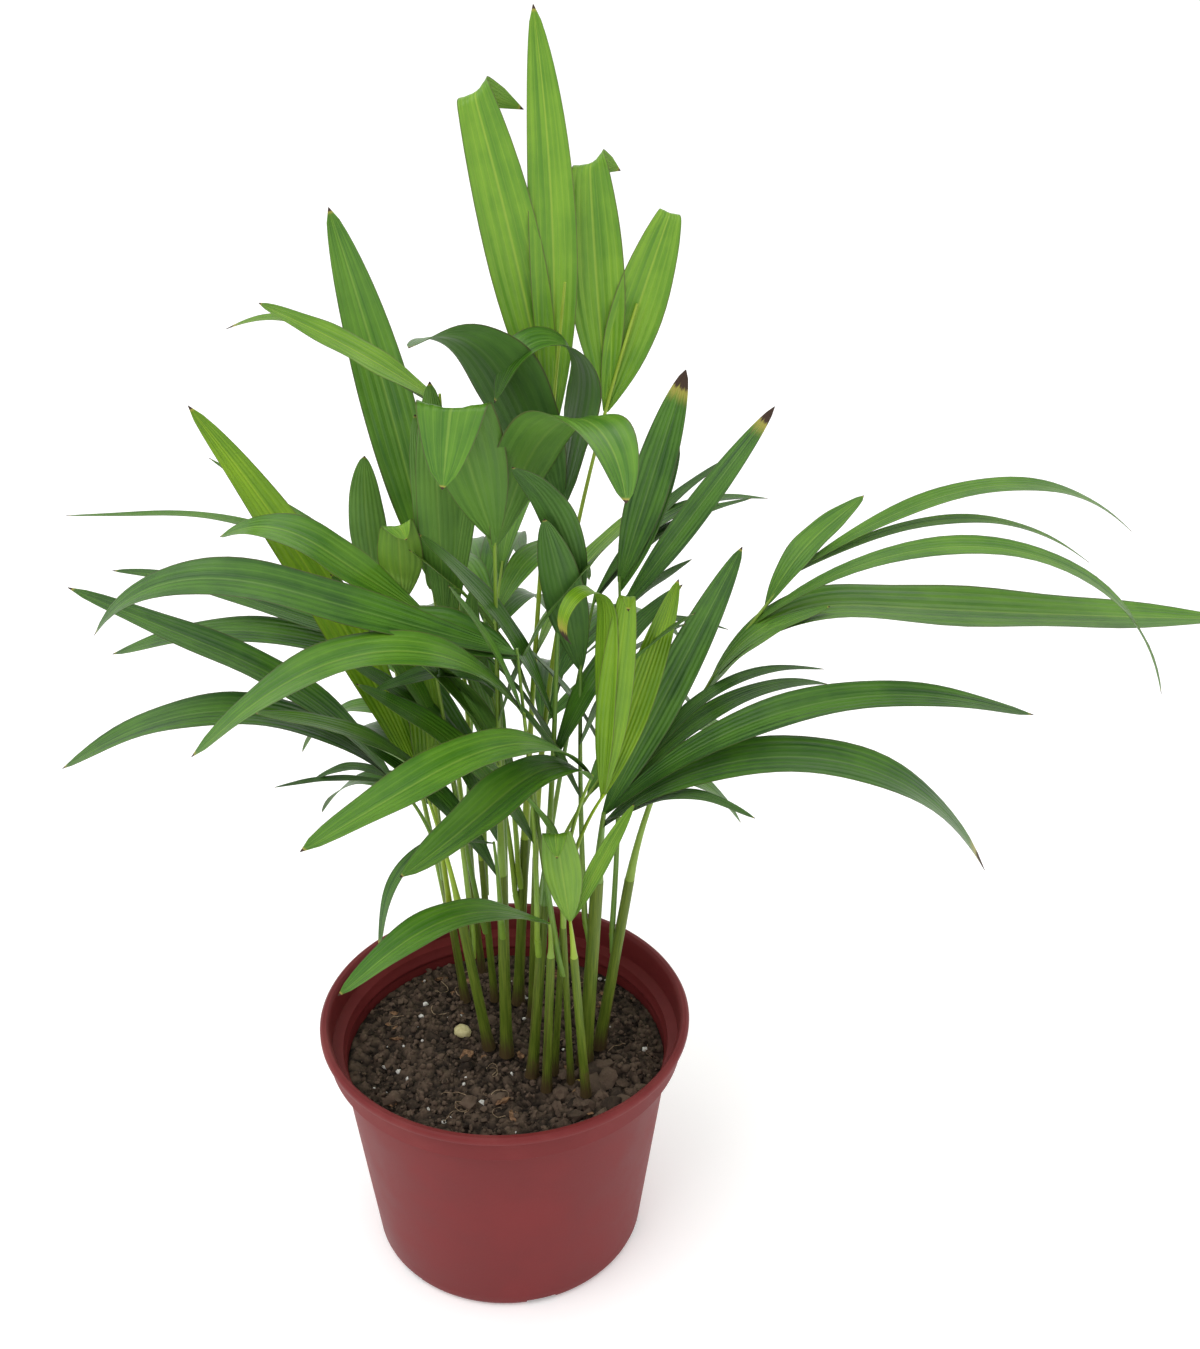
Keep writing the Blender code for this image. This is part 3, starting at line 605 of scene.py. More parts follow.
def leaflet_group():
    """Ribs, veins, thin dark margin, drifts, pale underside and dry tip of a leaflet.

    Reads two attributes of the blades: blade (across, along, underside) and mark (dry tip, petiole,
    own number).
    """
    found = bpy.data.node_groups.get("Leaflet")
    if found:
        return found
    colour = "NodeSocketColor"
    group, start, finish = new_group(
        "Leaflet",
        {
            "Deep": (colour, (0.03, 0.10, 0.02, 1.0)),
            "Light": (colour, (0.10, 0.25, 0.04, 1.0)),
            "Rib": (colour, (0.30, 0.42, 0.10, 1.0)),
            "Under": (colour, (0.16, 0.28, 0.10, 1.0)),
            "Petiole": (colour, (0.28, 0.38, 0.05, 1.0)),
        },
        {"Color": colour, "Roughness": "NodeSocketFloat", "Height": "NodeSocketFloat"},
    )
    blade = node(group, "ShaderNodeAttribute", attribute_name="blade").outputs["Vector"]
    mark = node(group, "ShaderNodeAttribute", attribute_name="mark").outputs["Vector"]
    parts = node(group, "ShaderNodeSeparateXYZ", {0: blade})
    across, along, under = parts.outputs
    marks = node(group, "ShaderNodeSeparateXYZ", {0: mark})
    dry, petiole, number = marks.outputs

    rib_wave = maths(group, "PINGPONG", maths(group, "MULTIPLY", across, 8.0), 0.5)
    ribs = ramp(group, rib_wave, 0.13, 0.02)
    off_middle = maths(group, "ABSOLUTE", maths(group, "SUBTRACT", across, 0.5))
    midrib = ramp(group, off_middle, 0.035, 0.012)
    margin = ramp(group, off_middle, 0.472, 0.492)
    veins = maths(group, "PINGPONG", maths(group, "MULTIPLY", across, 46.0), 0.5)

    lane = node(group, "ShaderNodeCombineXYZ", {
        0: maths(group, "MULTIPLY", across, 9.0), 1: maths(group, "MULTIPLY", along, 1.6), 2: number})
    streak = noise_value(group, lane.outputs[0], 1.0, 4.0, 0.6)
    place = object_place(group)
    patch = noise_value(group, place, 60.0, 3.0)

    drift = maths(group, "ADD", maths(group, "MULTIPLY", streak, 0.65), maths(group, "MULTIPLY", patch, 0.35))
    body = blend(group, ramp(group, drift, 0.34, 0.66), start.outputs["Deep"], start.outputs["Light"])
    body = blend(group, maths(group, "MULTIPLY", veins, 0.26), body, start.outputs["Light"])
    body = blend(group, maths(group, "MULTIPLY", ribs, 0.20), body, start.outputs["Rib"])
    body = blend(group, maths(group, "MULTIPLY", midrib, 0.48), body, start.outputs["Rib"])
    underside = blend(group, maths(group, "MULTIPLY", under, 0.45), body, start.outputs["Under"])
    edged = blend(group, maths(group, "MULTIPLY", margin, 0.62), underside, (0.075, 0.045, 0.028))

    off_streak = maths(group, "SUBTRACT", streak, 0.5)
    ragged = maths(group, "MULTIPLY", off_streak, maths(group, "MULTIPLY", dry, 0.9))
    from_tip = maths(group, "ADD", maths(group, "SUBTRACT", 1.0, along), ragged)
    yellowed = ramp(group, from_tip, maths(group, "MULTIPLY", dry, 1.9), maths(group, "MULTIPLY", dry, 1.0))
    browned = ramp(group, from_tip, maths(group, "MULTIPLY", dry, 1.08), maths(group, "MULTIPLY", dry, 0.86))
    tipped = blend(group, maths(group, "MULTIPLY", yellowed, 0.75), edged, (0.46, 0.38, 0.07))
    tipped = blend(group, browned, tipped, (0.062, 0.034, 0.020))
    stalk = blend(group, ramp(group, patch, 0.3, 0.7), start.outputs["Petiole"], start.outputs["Rib"])
    whole = blend(group, petiole, tipped, stalk)
    group.links.new(whole, finish.inputs["Color"])

    gloss = ramp(group, streak, 0.3, 0.7, 0.31, 0.43)
    rough = maths(group, "ADD", maths(group, "MULTIPLY", under, 0.14), gloss)
    rough = maths(group, "ADD", rough, maths(group, "MULTIPLY", browned, 0.35))
    group.links.new(rough, finish.inputs["Roughness"])

    height = maths(group, "MULTIPLY", rib_wave, 1.3)
    height = maths(group, "ADD", height, maths(group, "MULTIPLY", veins, 0.20))
    height = maths(group, "ADD", height, maths(group, "MULTIPLY", patch, 0.25))
    flat = maths(group, "SUBTRACT", 1.0, petiole)
    group.links.new(maths(group, "MULTIPLY", height, flat), finish.inputs["Height"])
    return group


def leaflet_material(name, deep, light, rib, under, petiole):
    """One green of the foliage; the shared pattern with this green's own colours."""
    made, tree, shader = new_material(name, specular=0.46)
    pattern = node(tree, "ShaderNodeGroup", node_tree=leaflet_group())
    colours = {"Deep": deep, "Light": light, "Rib": rib, "Under": under, "Petiole": petiole}
    for label, colour in colours.items():
        pattern.inputs[label].default_value = (*colour, 1.0)
    tree.links.new(pattern.outputs["Color"], shader.inputs["Base Color"])
    tree.links.new(pattern.outputs["Roughness"], shader.inputs["Roughness"])
    add_bump(tree, shader, pattern.outputs["Height"], 0.0005, 0.65)
    return made


def pot_material(colour, roughness):
    """Matte moulded plastic: fine pimpled skin, slight drifts of tone, a pale dusty tint towards the lip that is
    partly a painted highlight.
    """
    made, tree, shader = new_material("matte_pot_plastic", specular=0.22)
    fine, broad = grain(tree, 1300.0, 26.0)
    height = node(tree, "ShaderNodeSeparateXYZ", {0: object_place(tree)}).outputs["Z"]
    darker = tuple(part * 0.93 for part in colour)
    lighter = tuple(min(1.0, part * 1.06 + 0.002) for part in colour)
    body = blend(tree, ramp(tree, broad, 0.35, 0.68), darker, lighter)
    # Pale patches towards the lip: partly dust, partly a painted highlight on the lip.
    dust_and_lip_highlight = maths(tree, "MULTIPLY", ramp(tree, height, 0.100, 0.117), ramp(tree, broad, 0.45, 0.75))
    body = blend(tree, maths(tree, "MULTIPLY", dust_and_lip_highlight, 0.10), body, (0.42, 0.24, 0.20))
    tree.links.new(body, shader.inputs["Base Color"])
    rough = ramp(tree, broad, 0.3, 0.7, roughness - 0.05, roughness + 0.07)
    tree.links.new(rough, shader.inputs["Roughness"])
    add_bump(tree, shader, fine, 0.00012, 0.35)
    return made


def soil_material(name, deep, light):
    """Damp crumbly peat: dark in its cracks and hollows as painted shade, browner on what stands up."""
    made, tree, shader = new_material(name, specular=0.25)
    fine, broad = grain(tree, 1500.0, 160.0)
    # How far a point stands up: the cracks below get the hollow colour as painted shade, the crumbs a random tone.
    lifted = node(tree, "ShaderNodeAttribute", attribute_name="lift").outputs["Fac"]
    tone = maths(tree, "ADD", maths(tree, "MULTIPLY", lifted, 0.6), maths(tree, "MULTIPLY", broad, 0.5))
    body = blend(tree, ramp(tree, tone, 0.28, 0.85), deep, light)
    speck = ramp(tree, fine, 0.62, 0.72)
    body = blend(tree, maths(tree, "MULTIPLY", speck, 0.35), body, tuple(part * 2.4 for part in light))
    tree.links.new(body, shader.inputs["Base Color"])
    tree.links.new(ramp(tree, broad, 0.3, 0.7, 0.80, 0.98), shader.inputs["Roughness"])
    add_bump(tree, shader, fine, 0.0006, 0.9)
    return made


def speck_material(name, dark, light, roughness, scale):
    """Perlite, bark, roots and stones: one stuff with fine mottling."""
    made, tree, shader = new_material(name, specular=0.3)
    fine, broad = grain(tree, scale * 3.0, scale)
    tree.links.new(blend(tree, ramp(tree, broad, 0.32, 0.68), dark, light), shader.inputs["Base Color"])
    rough = ramp(tree, fine, 0.3, 0.7, roughness - 0.08, roughness + 0.08)
    tree.links.new(rough, shader.inputs["Roughness"])
    add_bump(tree, shader, fine, 0.0003, 0.7)
    return made


def cane_material(green, sheath, brown):
    """Green cane wrapped in split sheaths: fibrous streaks, brown feet, brown sheath edges and scars.

    Reads the cane's attribute wrap: (round, up, sheath edge).
    """
    made, tree, shader = new_material("green_cane", specular=0.4)
    wrap = node(tree, "ShaderNodeAttribute", attribute_name="wrap").outputs["Vector"]
    around, up, edge = node(tree, "ShaderNodeSeparateXYZ", {0: wrap}).outputs
    lane = node(tree, "ShaderNodeCombineXYZ", {
        0: maths(tree, "MULTIPLY", around, 26.0), 1: maths(tree, "MULTIPLY", up, 5.0), 2: edge}).outputs[0]
    fibre = noise_value(tree, lane, 1.0, 4.0, 0.6)
    fine, broad = grain(tree, 1100.0, 70.0)
    body = blend(tree, ramp(tree, fibre, 0.35, 0.68), green, sheath)
    foot = ramp(tree, maths(tree, "ADD", up, maths(tree, "MULTIPLY", fibre, 0.16)), 0.25, 0.09)
    ragged_edge = maths(tree, "MULTIPLY", edge, ramp(tree, maths(tree, "ADD", up, broad), 1.35, 0.65))
    body = blend(tree, maths(tree, "MULTIPLY", ragged_edge, 0.85), body, brown)
    body = blend(tree, maths(tree, "MULTIPLY", foot, 0.92), body, brown)
    blotch = maths(tree, "MULTIPLY", ramp(tree, broad, 0.60, 0.72), ramp(tree, up, 0.75, 0.2))
    body = blend(tree, maths(tree, "MULTIPLY", blotch, 0.5), body, tuple(part * 1.8 for part in brown))
    tree.links.new(body, shader.inputs["Base Color"])
    tree.links.new(ramp(tree, fibre, 0.3, 0.7, 0.40, 0.58), shader.inputs["Roughness"])
    height = maths(tree, "ADD", fibre, maths(tree, "MULTIPLY", fine, 0.4))
    add_bump(tree, shader, height, 0.0003, 0.6)
    return made


def mesh_piece(name, points, faces, material, attributes=None, sharp=40):
    """A piece at the origin from points and faces, its faces turned outwards, on the plant's one body."""
    mesh = bpy.data.meshes.new(name)
    mesh.from_pydata([tuple(point) for point in points], [], faces)
    work = bmesh.new()
    work.from_mesh(mesh)
    bmesh.ops.recalc_face_normals(work, faces=work.faces)
    work.to_mesh(mesh)
    work.free()
    for label, values in (attributes or {}).items():
        kind = "FLOAT_VECTOR" if values.ndim == 2 else "FLOAT"
        layer = mesh.attributes.new(label, kind, "POINT")
        layer.data.foreach_set("vector" if values.ndim == 2 else "value", values.astype(np.float32).ravel())
    mesh.shade_smooth()
    mesh.set_sharp_from_angle(angle=math.radians(sharp))
    mesh.materials.append(material)
    made = bpy.data.objects.new(name, mesh)
    bpy.context.scene.collection.objects.link(made)
    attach(made, "root")
    return made


def blade_points(leaf, root, number, dry, fullness, stations, lanes):
    """Points, faces and marks of one thin leaflet, a pleated shallow V with slightly wavy margins."""
    frames = leaf_frames(leaf)
    steps = station_steps(frames, stations)
    points, blades, faces = [], [], []
    row = lanes + 1
    for step in steps:
        point, along, across, face = frames[step]
        share = step / FINE_STEPS
        half = max(leaf.width * MM / 2 * fullness * leaf_outline(share, leaf.belly), NARROWEST_HALF)
        thick = BLADE_THICKNESS * (1.0 - 0.45 * share)
        for surface in (1, -1):
            for lane in range(row):
                side = 1.0 - 2.0 * lane / lanes
                phase = share * 19.0 + number * 2.1 + (2.0 if side > 0 else 0.0)
                wave = WAVE_RATIO * half * math.sin(phase) * side ** 4
                pleat = PLEAT_RATIO * half * math.cos(math.pi * lane) * (1.0 - share) ** 0.3
                keel = -KEEL_RATIO * half * (1.0 - abs(side) ** 1.25)
                rim = thick / 2 * (1.0 - 0.62 * abs(side) ** 3)
                lift = keel + pleat + wave + surface * rim
                points.append(root + point + across * (half * side) + face * lift)
                blades.append((lane / lanes, share, 0.0 if surface > 0 else 1.0))
    last = len(steps) - 1
    for i in range(last):
        low, high = 2 * row * i, 2 * row * (i + 1)
        for lane in range(lanes):
            faces.append((low + lane, low + lane + 1, high + lane + 1, high + lane))
            faces.append((low + row + lane + 1, low + row + lane, high + row + lane, high + row + lane + 1))
        faces.append((low + row, low, high, high + row))
        faces.append((low + lanes, low + row + lanes, high + row + lanes, high + lanes))
    for i in (0, last):
        low = 2 * row * i
        for lane in range(lanes):
            cap = (low + lane, low + row + lane, low + row + lane + 1, low + lane + 1)
            faces.append(cap if i == 0 else tuple(reversed(cap)))
    marks = [(dry, 0.0, number * 3.7)] * len(points)
    return points, blades, marks, faces


def tube_points(centres, radii, sides):
    """Points, shares (round, along) and faces of a closed tapering tube."""
    points, places, faces = [], [], []
    reference = Vector((0.0, 1.0, 0.0))
    last = len(centres) - 1
    for i, centre in enumerate(centres):
        along = (centres[min(i + 1, last)] - centres[max(i - 1, 0)]).normalized()
        side = along.cross(reference).normalized()
        other = along.cross(side)
        for k in range(sides):
            angle = 2 * math.pi * k / sides
            points.append(centre + (side * math.cos(angle) + other * math.sin(angle)) * radii[i])
            places.append((k / sides, i / last))
    for ring in range(last):
        low, high = sides * ring, sides * (ring + 1)
        for k in range(sides):
            after = (k + 1) % sides
            faces.append((low + k, low + after, high + after, high + k))
    faces.append(tuple(reversed(range(sides))))
    faces.append(tuple(range(sides * last, sides * (last + 1))))
    return points, places, faces


def frond_piece(frond, stem, material, stations, lanes):
    """One frond: its petiole and every leaflet on it, in one mesh that stands for the frond's solid."""
    centre, centres, radii = petiole_line(frond, stem)
    points, places, faces = tube_points(centres, radii, PETIOLE_SIDES)
    blades = [(around, along, 0.0) for around, along in places]
    marks = [(0.0, 1.0, 0.0)] * len(points)
    for i, leaf in enumerate(frond.leaves + INNER_LEAVES.get(frond.name, ())):
        root = centre(min(leaf.at, 0.985) - 0.012 * i)
        dry = DRY_TIPS.get((frond.name, i), SMALL_TIP)
        fullness = BLADE_FULLNESS * BROADER.get((frond.name, i), 1.0)
        more, more_blades, more_marks, more_faces = blade_points(
            leaf, root, i + 1, dry, fullness, stations, lanes)
        offset = len(points)
        points += more
        blades += more_blades
        marks += more_marks
        faces += [tuple(offset + corner for corner in face) for face in more_faces]
    attributes = {"blade": np.array(blades), "mark": np.array(marks)}
    name = frond.name.replace("frond_", "leaves_")
    made = mesh_piece(name, points, faces, material, attributes)
    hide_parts(frond.name)
    return made


def cane_piece(stem, material, sides, rings):
    """A cane with the step of its wrapped sheath, ring scars at the foot and a little unevenness."""
    foot, direction = stem_foot(stem), stem_direction(stem)
    length = stem.length * MM
    start_angle = (stem.x * 0.37 + stem.y * 0.21) % 6.28
    shares = [i / rings for i in range(rings + 1)]
    points, wraps, faces = [], [], []
    reference = Vector((0.0, 1.0, 0.0))
    side = direction.cross(reference).normalized()
    other = direction.cross(side)
    for i, share in enumerate(shares):
        base = stem_radius(stem, share)
        scar = sum(math.exp(-((share - at) / SCAR_WIDTH) ** 2) for at in CANE_SCARS)
        for k in range(sides):
            angle = 2 * math.pi * k / sides
            wrap = ((angle - start_angle - 1.3 * share) % (2 * math.pi)) / (2 * math.pi)
            edge = math.exp(-min(wrap, 1 - wrap) / SHEATH_EDGE)
            around = Vector((math.cos(angle) * 1.4, math.sin(angle) * 1.4, share * 9.0 + stem.x))
            radius = base * (1.0 + SHEATH_STEP * (0.5 - wrap) + 0.035 * scar + 0.03 * noise.noise(around))
            outward = side * math.cos(angle) + other * math.sin(angle)
            point = foot + direction * (length * share) + outward * radius
            if i == 0:
                point.z = foot.z
            points.append(point)
            wraps.append((angle / (2 * math.pi), share * length / 0.09, edge))
    for ring in range(rings):
        low, high = sides * ring, sides * (ring + 1)
        for k in range(sides):
            after = (k + 1) % sides
            faces.append((low + k, low + after, high + after, high + k))
    faces.append(tuple(reversed(range(sides))))
    faces.append(tuple(range(sides * rings, sides * (rings + 1))))
    name = stem.name.replace("stem_", "cane_")
    made = mesh_piece(name, points, faces, material, {"wrap": np.array(wraps)})
    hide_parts(stem.name)
    return made


def inner_wall_radius(height):
    share = (height - 0.007) / (COLLAR_BOTTOM - 0.007)
    return FOOT_RADIUS + (WALL_TOP_RADIUS - FOOT_RADIUS) * share - WALL


def drawn_shell(name, profile, sides):
    """A turned solid drawn up from a disc at its foot, ring by ring."""
    clear_selection()
    radius, height = profile[0]
    place = (0, 0, height)
    bpy.ops.mesh.primitive_circle_add(vertices=sides, radius=radius, fill_type="NGON", location=place)
    made = bpy.context.active_object
    made.name = name
    bpy.ops.object.mode_set(mode="EDIT")
    bpy.ops.mesh.select_all(action="SELECT")
    for next_radius, next_height in profile[1:]:
        bpy.ops.mesh.extrude_region_move(TRANSFORM_OT_translate={"value": (0, 0, next_height - height)})
        wider = next_radius / radius
        bpy.ops.transform.resize(value=(wider, wider, 1.0), center_override=(0, 0, next_height))
        radius, height = next_radius, next_height
    bpy.ops.mesh.select_all(action="SELECT")
    bpy.ops.mesh.normals_make_consistent(inside=False)
    bpy.ops.object.mode_set(mode="OBJECT")
    bpy.ops.object.transform_apply(location=True, rotation=True, scale=True)
    return made


def pot_profile():
    """Foot, tapering wall, collar, rolled lip, then down inside past the two rings to the floor."""
    ring = inner_wall_radius(0.0985)
    return [
        (0.0400, 0.0), (0.0585, 0.0), (0.0599, 0.0004), (0.0610, 0.0012), (0.0617, 0.0023), (0.0622, 0.0036),
        (FOOT_RADIUS, 0.0070), (WALL_TOP_RADIUS, COLLAR_BOTTOM),
        (COLLAR_RADIUS - 0.0006, COLLAR_BOTTOM + 0.0001),
        (COLLAR_RADIUS - 0.0001, COLLAR_BOTTOM + 0.0006), (COLLAR_RADIUS, POT_HEIGHT - 0.0042),
        (COLLAR_RADIUS + 0.0005, POT_HEIGHT - 0.0038), (RIM_RADIUS - 0.0008, POT_HEIGHT - 0.0036),
        (RIM_RADIUS - 0.0002, POT_HEIGHT - 0.0032), (RIM_RADIUS, POT_HEIGHT - 0.0026),
        (RIM_RADIUS, POT_HEIGHT - 0.0012), (RIM_RADIUS - 0.0004, POT_HEIGHT - 0.0005),
        (RIM_RADIUS - 0.0012, POT_HEIGHT), (RIM_RADIUS - 0.0028, POT_HEIGHT),
        (RIM_RADIUS - 0.0036, POT_HEIGHT - 0.0006), (COLLAR_RADIUS - WALL, POT_HEIGHT - 0.0022),
        (COLLAR_RADIUS - WALL - 0.0003, COLLAR_BOTTOM + 0.0016), (WALL_TOP_RADIUS - WALL, COLLAR_BOTTOM),
        (ring - 0.0001, 0.1002), (ring - 0.0007, 0.0994), (ring - 0.0008, 0.0988), (ring - 0.0007, 0.0982),
        (ring - 0.0002, 0.0972), (inner_wall_radius(0.007), 0.0070),
        (0.0590, FLOOR + 0.0004), (0.0400, FLOOR),
    ]


def soil_height(x, y):
    """Broad mounds and hollows of the soil, as in its solid."""
    height = SOIL_LEVEL + 0.0006 * math.sin(210 * x + 1.0) * math.cos(190 * y)
    for centre_x, centre_y, rise, reach in SOIL_MOUNDS:
        height += rise * math.exp(-((x - centre_x) ** 2 + (y - centre_y) ** 2) / (reach * reach))
    return height


def soil_relief(x, y):
    """Lumps with cracks between them, darkened in the soil's colour as painted shade: height over the mounds, and
    how far a point is lifted.
    """
    lift = 0.0
    for cell, share in SOIL_CELLS:
        near = noise.voronoi(Vector((x / cell, y / cell, share * 40.0)), distance_metric="DISTANCE")[0]
        lift += share * min(1.0, (near[1] - near[0]) * 1.9) ** 0.6
    rough = noise.fractal(Vector((x * ROUGHNESS_SCALE, y * ROUGHNESS_SCALE, 3.0)), 0.9, 2.0, 4)
    return (lift - 0.72) * CRACK_DEPTH + rough * ROUGHNESS_HEIGHT, lift


def soil_piece(material, count):
    """Soil surface from a fine grid, trimmed to the pot's round, with a skirt and a closed underside."""
    clear_selection()
    edge = inner_wall_radius(SOIL_LEVEL) - WALL_GAP
    bpy.ops.mesh.primitive_grid_add(x_subdivisions=count, y_subdivisions=count, size=2.06 * edge)
    made = bpy.context.active_object
    made.name = "soil_surface"
    mesh = made.data
    outside = np.zeros(len(mesh.vertices), dtype=bool)
    lifts = np.zeros(len(mesh.vertices), dtype=np.float32)
    for i, vertex in enumerate(mesh.vertices):
        x, y = vertex.co.x, vertex.co.y
        radius = math.hypot(x, y)
        if radius > edge:
            outside[i] = True
            x, y = x * edge / radius, y * edge / radius
        relief, lift = soil_relief(x, y)
        settle = smooth_step((edge - math.hypot(x, y)) / SETTLED_EDGE)
        level = SOIL_LEVEL + (soil_height(x, y) - SOIL_LEVEL) * settle
        vertex.co = (x, y, level + relief * (0.35 + 0.65 * settle))
        lifts[i] = lift
    layer = mesh.attributes.new("lift", "FLOAT", "POINT")
    layer.data.foreach_set("value", lifts)
    work = bmesh.new()
    work.from_mesh(mesh)
    work.verts.ensure_lookup_table()
    spare = [face for face in work.faces if all(outside[corner.index] for corner in face.verts)]
    bmesh.ops.delete(work, geom=spare, context="FACES")
    bmesh.ops.remove_doubles(work, verts=work.verts, dist=0.00002)
    work.to_mesh(mesh)
    work.free()
    bpy.ops.object.mode_set(mode="EDIT")
    bpy.ops.mesh.select_mode(type="EDGE")
    bpy.ops.mesh.select_all(action="SELECT")
    bpy.ops.mesh.region_to_loop()
    bpy.ops.mesh.extrude_region_move(TRANSFORM_OT_translate={"value": (0, 0, -SKIRT_DEPTH)})
    bpy.ops.mesh.edge_face_add()
    bpy.ops.mesh.select_mode(type="VERT")
    bpy.ops.mesh.select_all(action="SELECT")
    bpy.ops.mesh.normals_make_consistent(inside=False)
    bpy.ops.object.mode_set(mode="OBJECT")
    mesh.shade_smooth()
    mesh.materials.append(material)
    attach(made, "root")
    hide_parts("soil")
    return made


def rough_lump(detail):
    """Corner points and faces of a unit ball to be roughened, with few faces."""
    work = bmesh.new()
    bmesh.ops.create_icosphere(work, subdivisions=detail, radius=1.0)
    work.verts.ensure_lookup_table()
    points = np.array([vertex.co[:] for vertex in work.verts])
    faces = [tuple(corner.index for corner in face.verts) for face in work.faces]
    work.free()
    return points, faces


def free_of_canes(x, y, gap):
    return all(math.hypot(x - stem.x * MM, y - stem.y * MM) > stem.width * MM * 0.62 + gap for stem in STEMS)


def strewn_piece(name, material, count, small, large, flat, detail, sink, rng, uneven=1.0, places=()):
    """Crumbs, grit or chips strewn on the soil, or set at given places, each one roughened and turned.

    Sizes lie between small and large; flat is height over width; sink is the share below the soil.
    """
    ball, ball_faces = rough_lump(detail)
    edge = inner_wall_radius(SOIL_LEVEL) - 0.002
    points, faces, lifts = [], [], []
    spots = list(places)
    while len(spots) < count:
        radius = edge * math.sqrt(rng.uniform(0.0, 1.0))
        angle = rng.uniform(0.0, 2 * math.pi)
        x, y = radius * math.cos(angle), radius * math.sin(angle)
        if free_of_canes(x, y, small):
            spots.append((x, y))
    for x, y in spots:
        size = small + (large - small) * rng.random() ** 2.2
        shape = np.array([1.0, rng.uniform(0.6, 0.95), flat * rng.uniform(0.75, 1.2)]) * size
        seat = Vector((rng.uniform(0, 50), rng.uniform(0, 50), 0.0))
        swell = [
            noise.noise(Vector(corner) * 1.7 + seat) + 0.5 * noise.noise(Vector(corner) * 4.1 + seat)
            for corner in ball
        ]
        jitter = np.array([0.20 * (rng.random() - 0.5) for _ in ball])
        rough = 1.0 + uneven * (0.62 * np.array(swell) + jitter)
        turned = ball * rough[:, None] * shape
        angles = (rng.uniform(-0.5, 0.5), rng.uniform(-0.5, 0.5), rng.uniform(0.0, 2 * math.pi))
        rotation = np.array(Matrix.Rotation(angles[2], 3, "Z") @ Matrix.Rotation(angles[0], 3, "X")
                            @ Matrix.Rotation(angles[1], 3, "Y"))
        turned = turned @ rotation.T
        reach = math.hypot(x, y) + size
        if reach > edge + 0.0016:
            x, y = x * (edge - size) / math.hypot(x, y), y * (edge - size) / math.hypot(x, y)
        base = soil_height(x, y) + soil_relief(x, y)[0]
        turned += np.array([x, y, base + size * flat * (1.0 - sink)])
        offset = len(points)
        points += [tuple(point) for point in turned]
        lifts += [0.30 + 0.95 * rng.random()] * len(turned)
        faces += [tuple(offset + corner for corner in face) for face in ball_faces]
    return mesh_piece(name, points, faces, material, {"lift": np.array(lifts)}, sharp=60)


def root_threads_piece(material, count, rng):
    """Thin pale roots lying on the soil in loose curves."""
    points, faces = [], []
    edge = inner_wall_radius(SOIL_LEVEL) - 0.004
    for _ in range(count):
        radius, angle = edge * math.sqrt(rng.uniform(0.05, 0.9)), rng.uniform(0, 2 * math.pi)
        x, y = radius * math.cos(angle), radius * math.sin(angle)
        heading, bend = rng.uniform(0, 2 * math.pi), rng.uniform(-0.5, 0.5)
        thick, step = rng.uniform(0.00014, 0.00030), rng.uniform(0.0009, 0.0018)
        centres = []
        for _ in range(12):
            if math.hypot(x, y) > edge:
                break
            centres.append(Vector((x, y, soil_height(x, y) + soil_relief(x, y)[0] * 0.5 + 0.0009)))
            heading += bend + rng.uniform(-0.35, 0.35)
            x, y = x + step * math.cos(heading), y + step * math.sin(heading)
        if len(centres) < 4:
            continue
        radii = [thick * (1.0 - 0.6 * i / len(centres)) for i in range(len(centres))]
        more, _, more_faces = tube_points(centres, radii, 5)
        offset = len(points)
        points += more
        faces += [tuple(offset + corner for corner in face) for face in more_faces]
    return mesh_piece("root_threads", points, faces, material)


def colour_setting(name, description, default):
    return bpy.props.FloatVectorProperty(
        name=name, description=description, subtype="COLOR", size=3, min=0.0, max=1.0, default=default)


def share_setting(name, description, default):
    return bpy.props.FloatProperty(
        name=name, description=description, subtype="FACTOR", min=0.0, max=1.0, default=default)


def power_setting(name, description, default):
    return bpy.props.FloatProperty(
        name=name, description=description, subtype="POWER", min=0.0, default=default)


def count_setting(name, description, least, most, default):
    return bpy.props.IntProperty(name=name, description=description, min=least, max=most, default=default)


class PotSettings(bpy.types.PropertyGroup):
    colour: colour_setting("Plastic", "Base colour of the moulded pot", (0.172, 0.022, 0.023))
    roughness: share_setting("Roughness", "Roughness of the pot's skin", 0.48)
    sides: count_setting("Sides", "Faces round the pot", 32, 256, 144)


class SoilSettings(bpy.types.PropertyGroup):
    # Hollows: painted shade in the soil's cracks; crumbs also take it in random measure.
    deep: colour_setting("Hollows", "Colour of the soil's cracks", (0.0075, 0.0050, 0.0036))
    light: colour_setting("Dry soil", "Colour of the drier crumbs", (0.150, 0.106, 0.077))
    grid: count_setting("Grid", "Squares along each side of the soil's surface", 40, 240, 170)
    crumbs: count_setting("Crumbs", "Small crumbs strewn on the soil", 0, 4000, 2600)
    lumps: count_setting("Lumps", "Bigger lumps strewn on the soil", 0, 400, 110)


class CaneSettings(bpy.types.PropertyGroup):
    green: colour_setting("Green", "Green of the canes", (0.082, 0.136, 0.010))
    sheath: colour_setting("Sheath", "Paler streaks of the sheaths", (0.160, 0.215, 0.022))
    brown: colour_setting("Brown", "Dry sheath edges and feet", (0.085, 0.050, 0.024))
    sides: count_setting("Sides", "Faces round a cane", 8, 64, 28)


class FrondSettings(bpy.types.PropertyGroup):
    stations: count_setting("Stations", "Rows of faces along a leaflet", 8, 60, 30)
    lanes: count_setting("Lanes", "Faces across a leaflet", 4, 16, 8)


class StageSettings(bpy.types.PropertyGroup):
    floor: share_setting("Floor", "Lightness of the floor", 0.95)
    key: power_setting("Key light", "Power of the big soft light", 16.0)
    fill: power_setting("Fill light", "Power of the two weaker lights", 2.5)
    sky: bpy.props.FloatProperty(
        name="Sky", description="Strength of the even light all round", min=0.0, default=1.0)


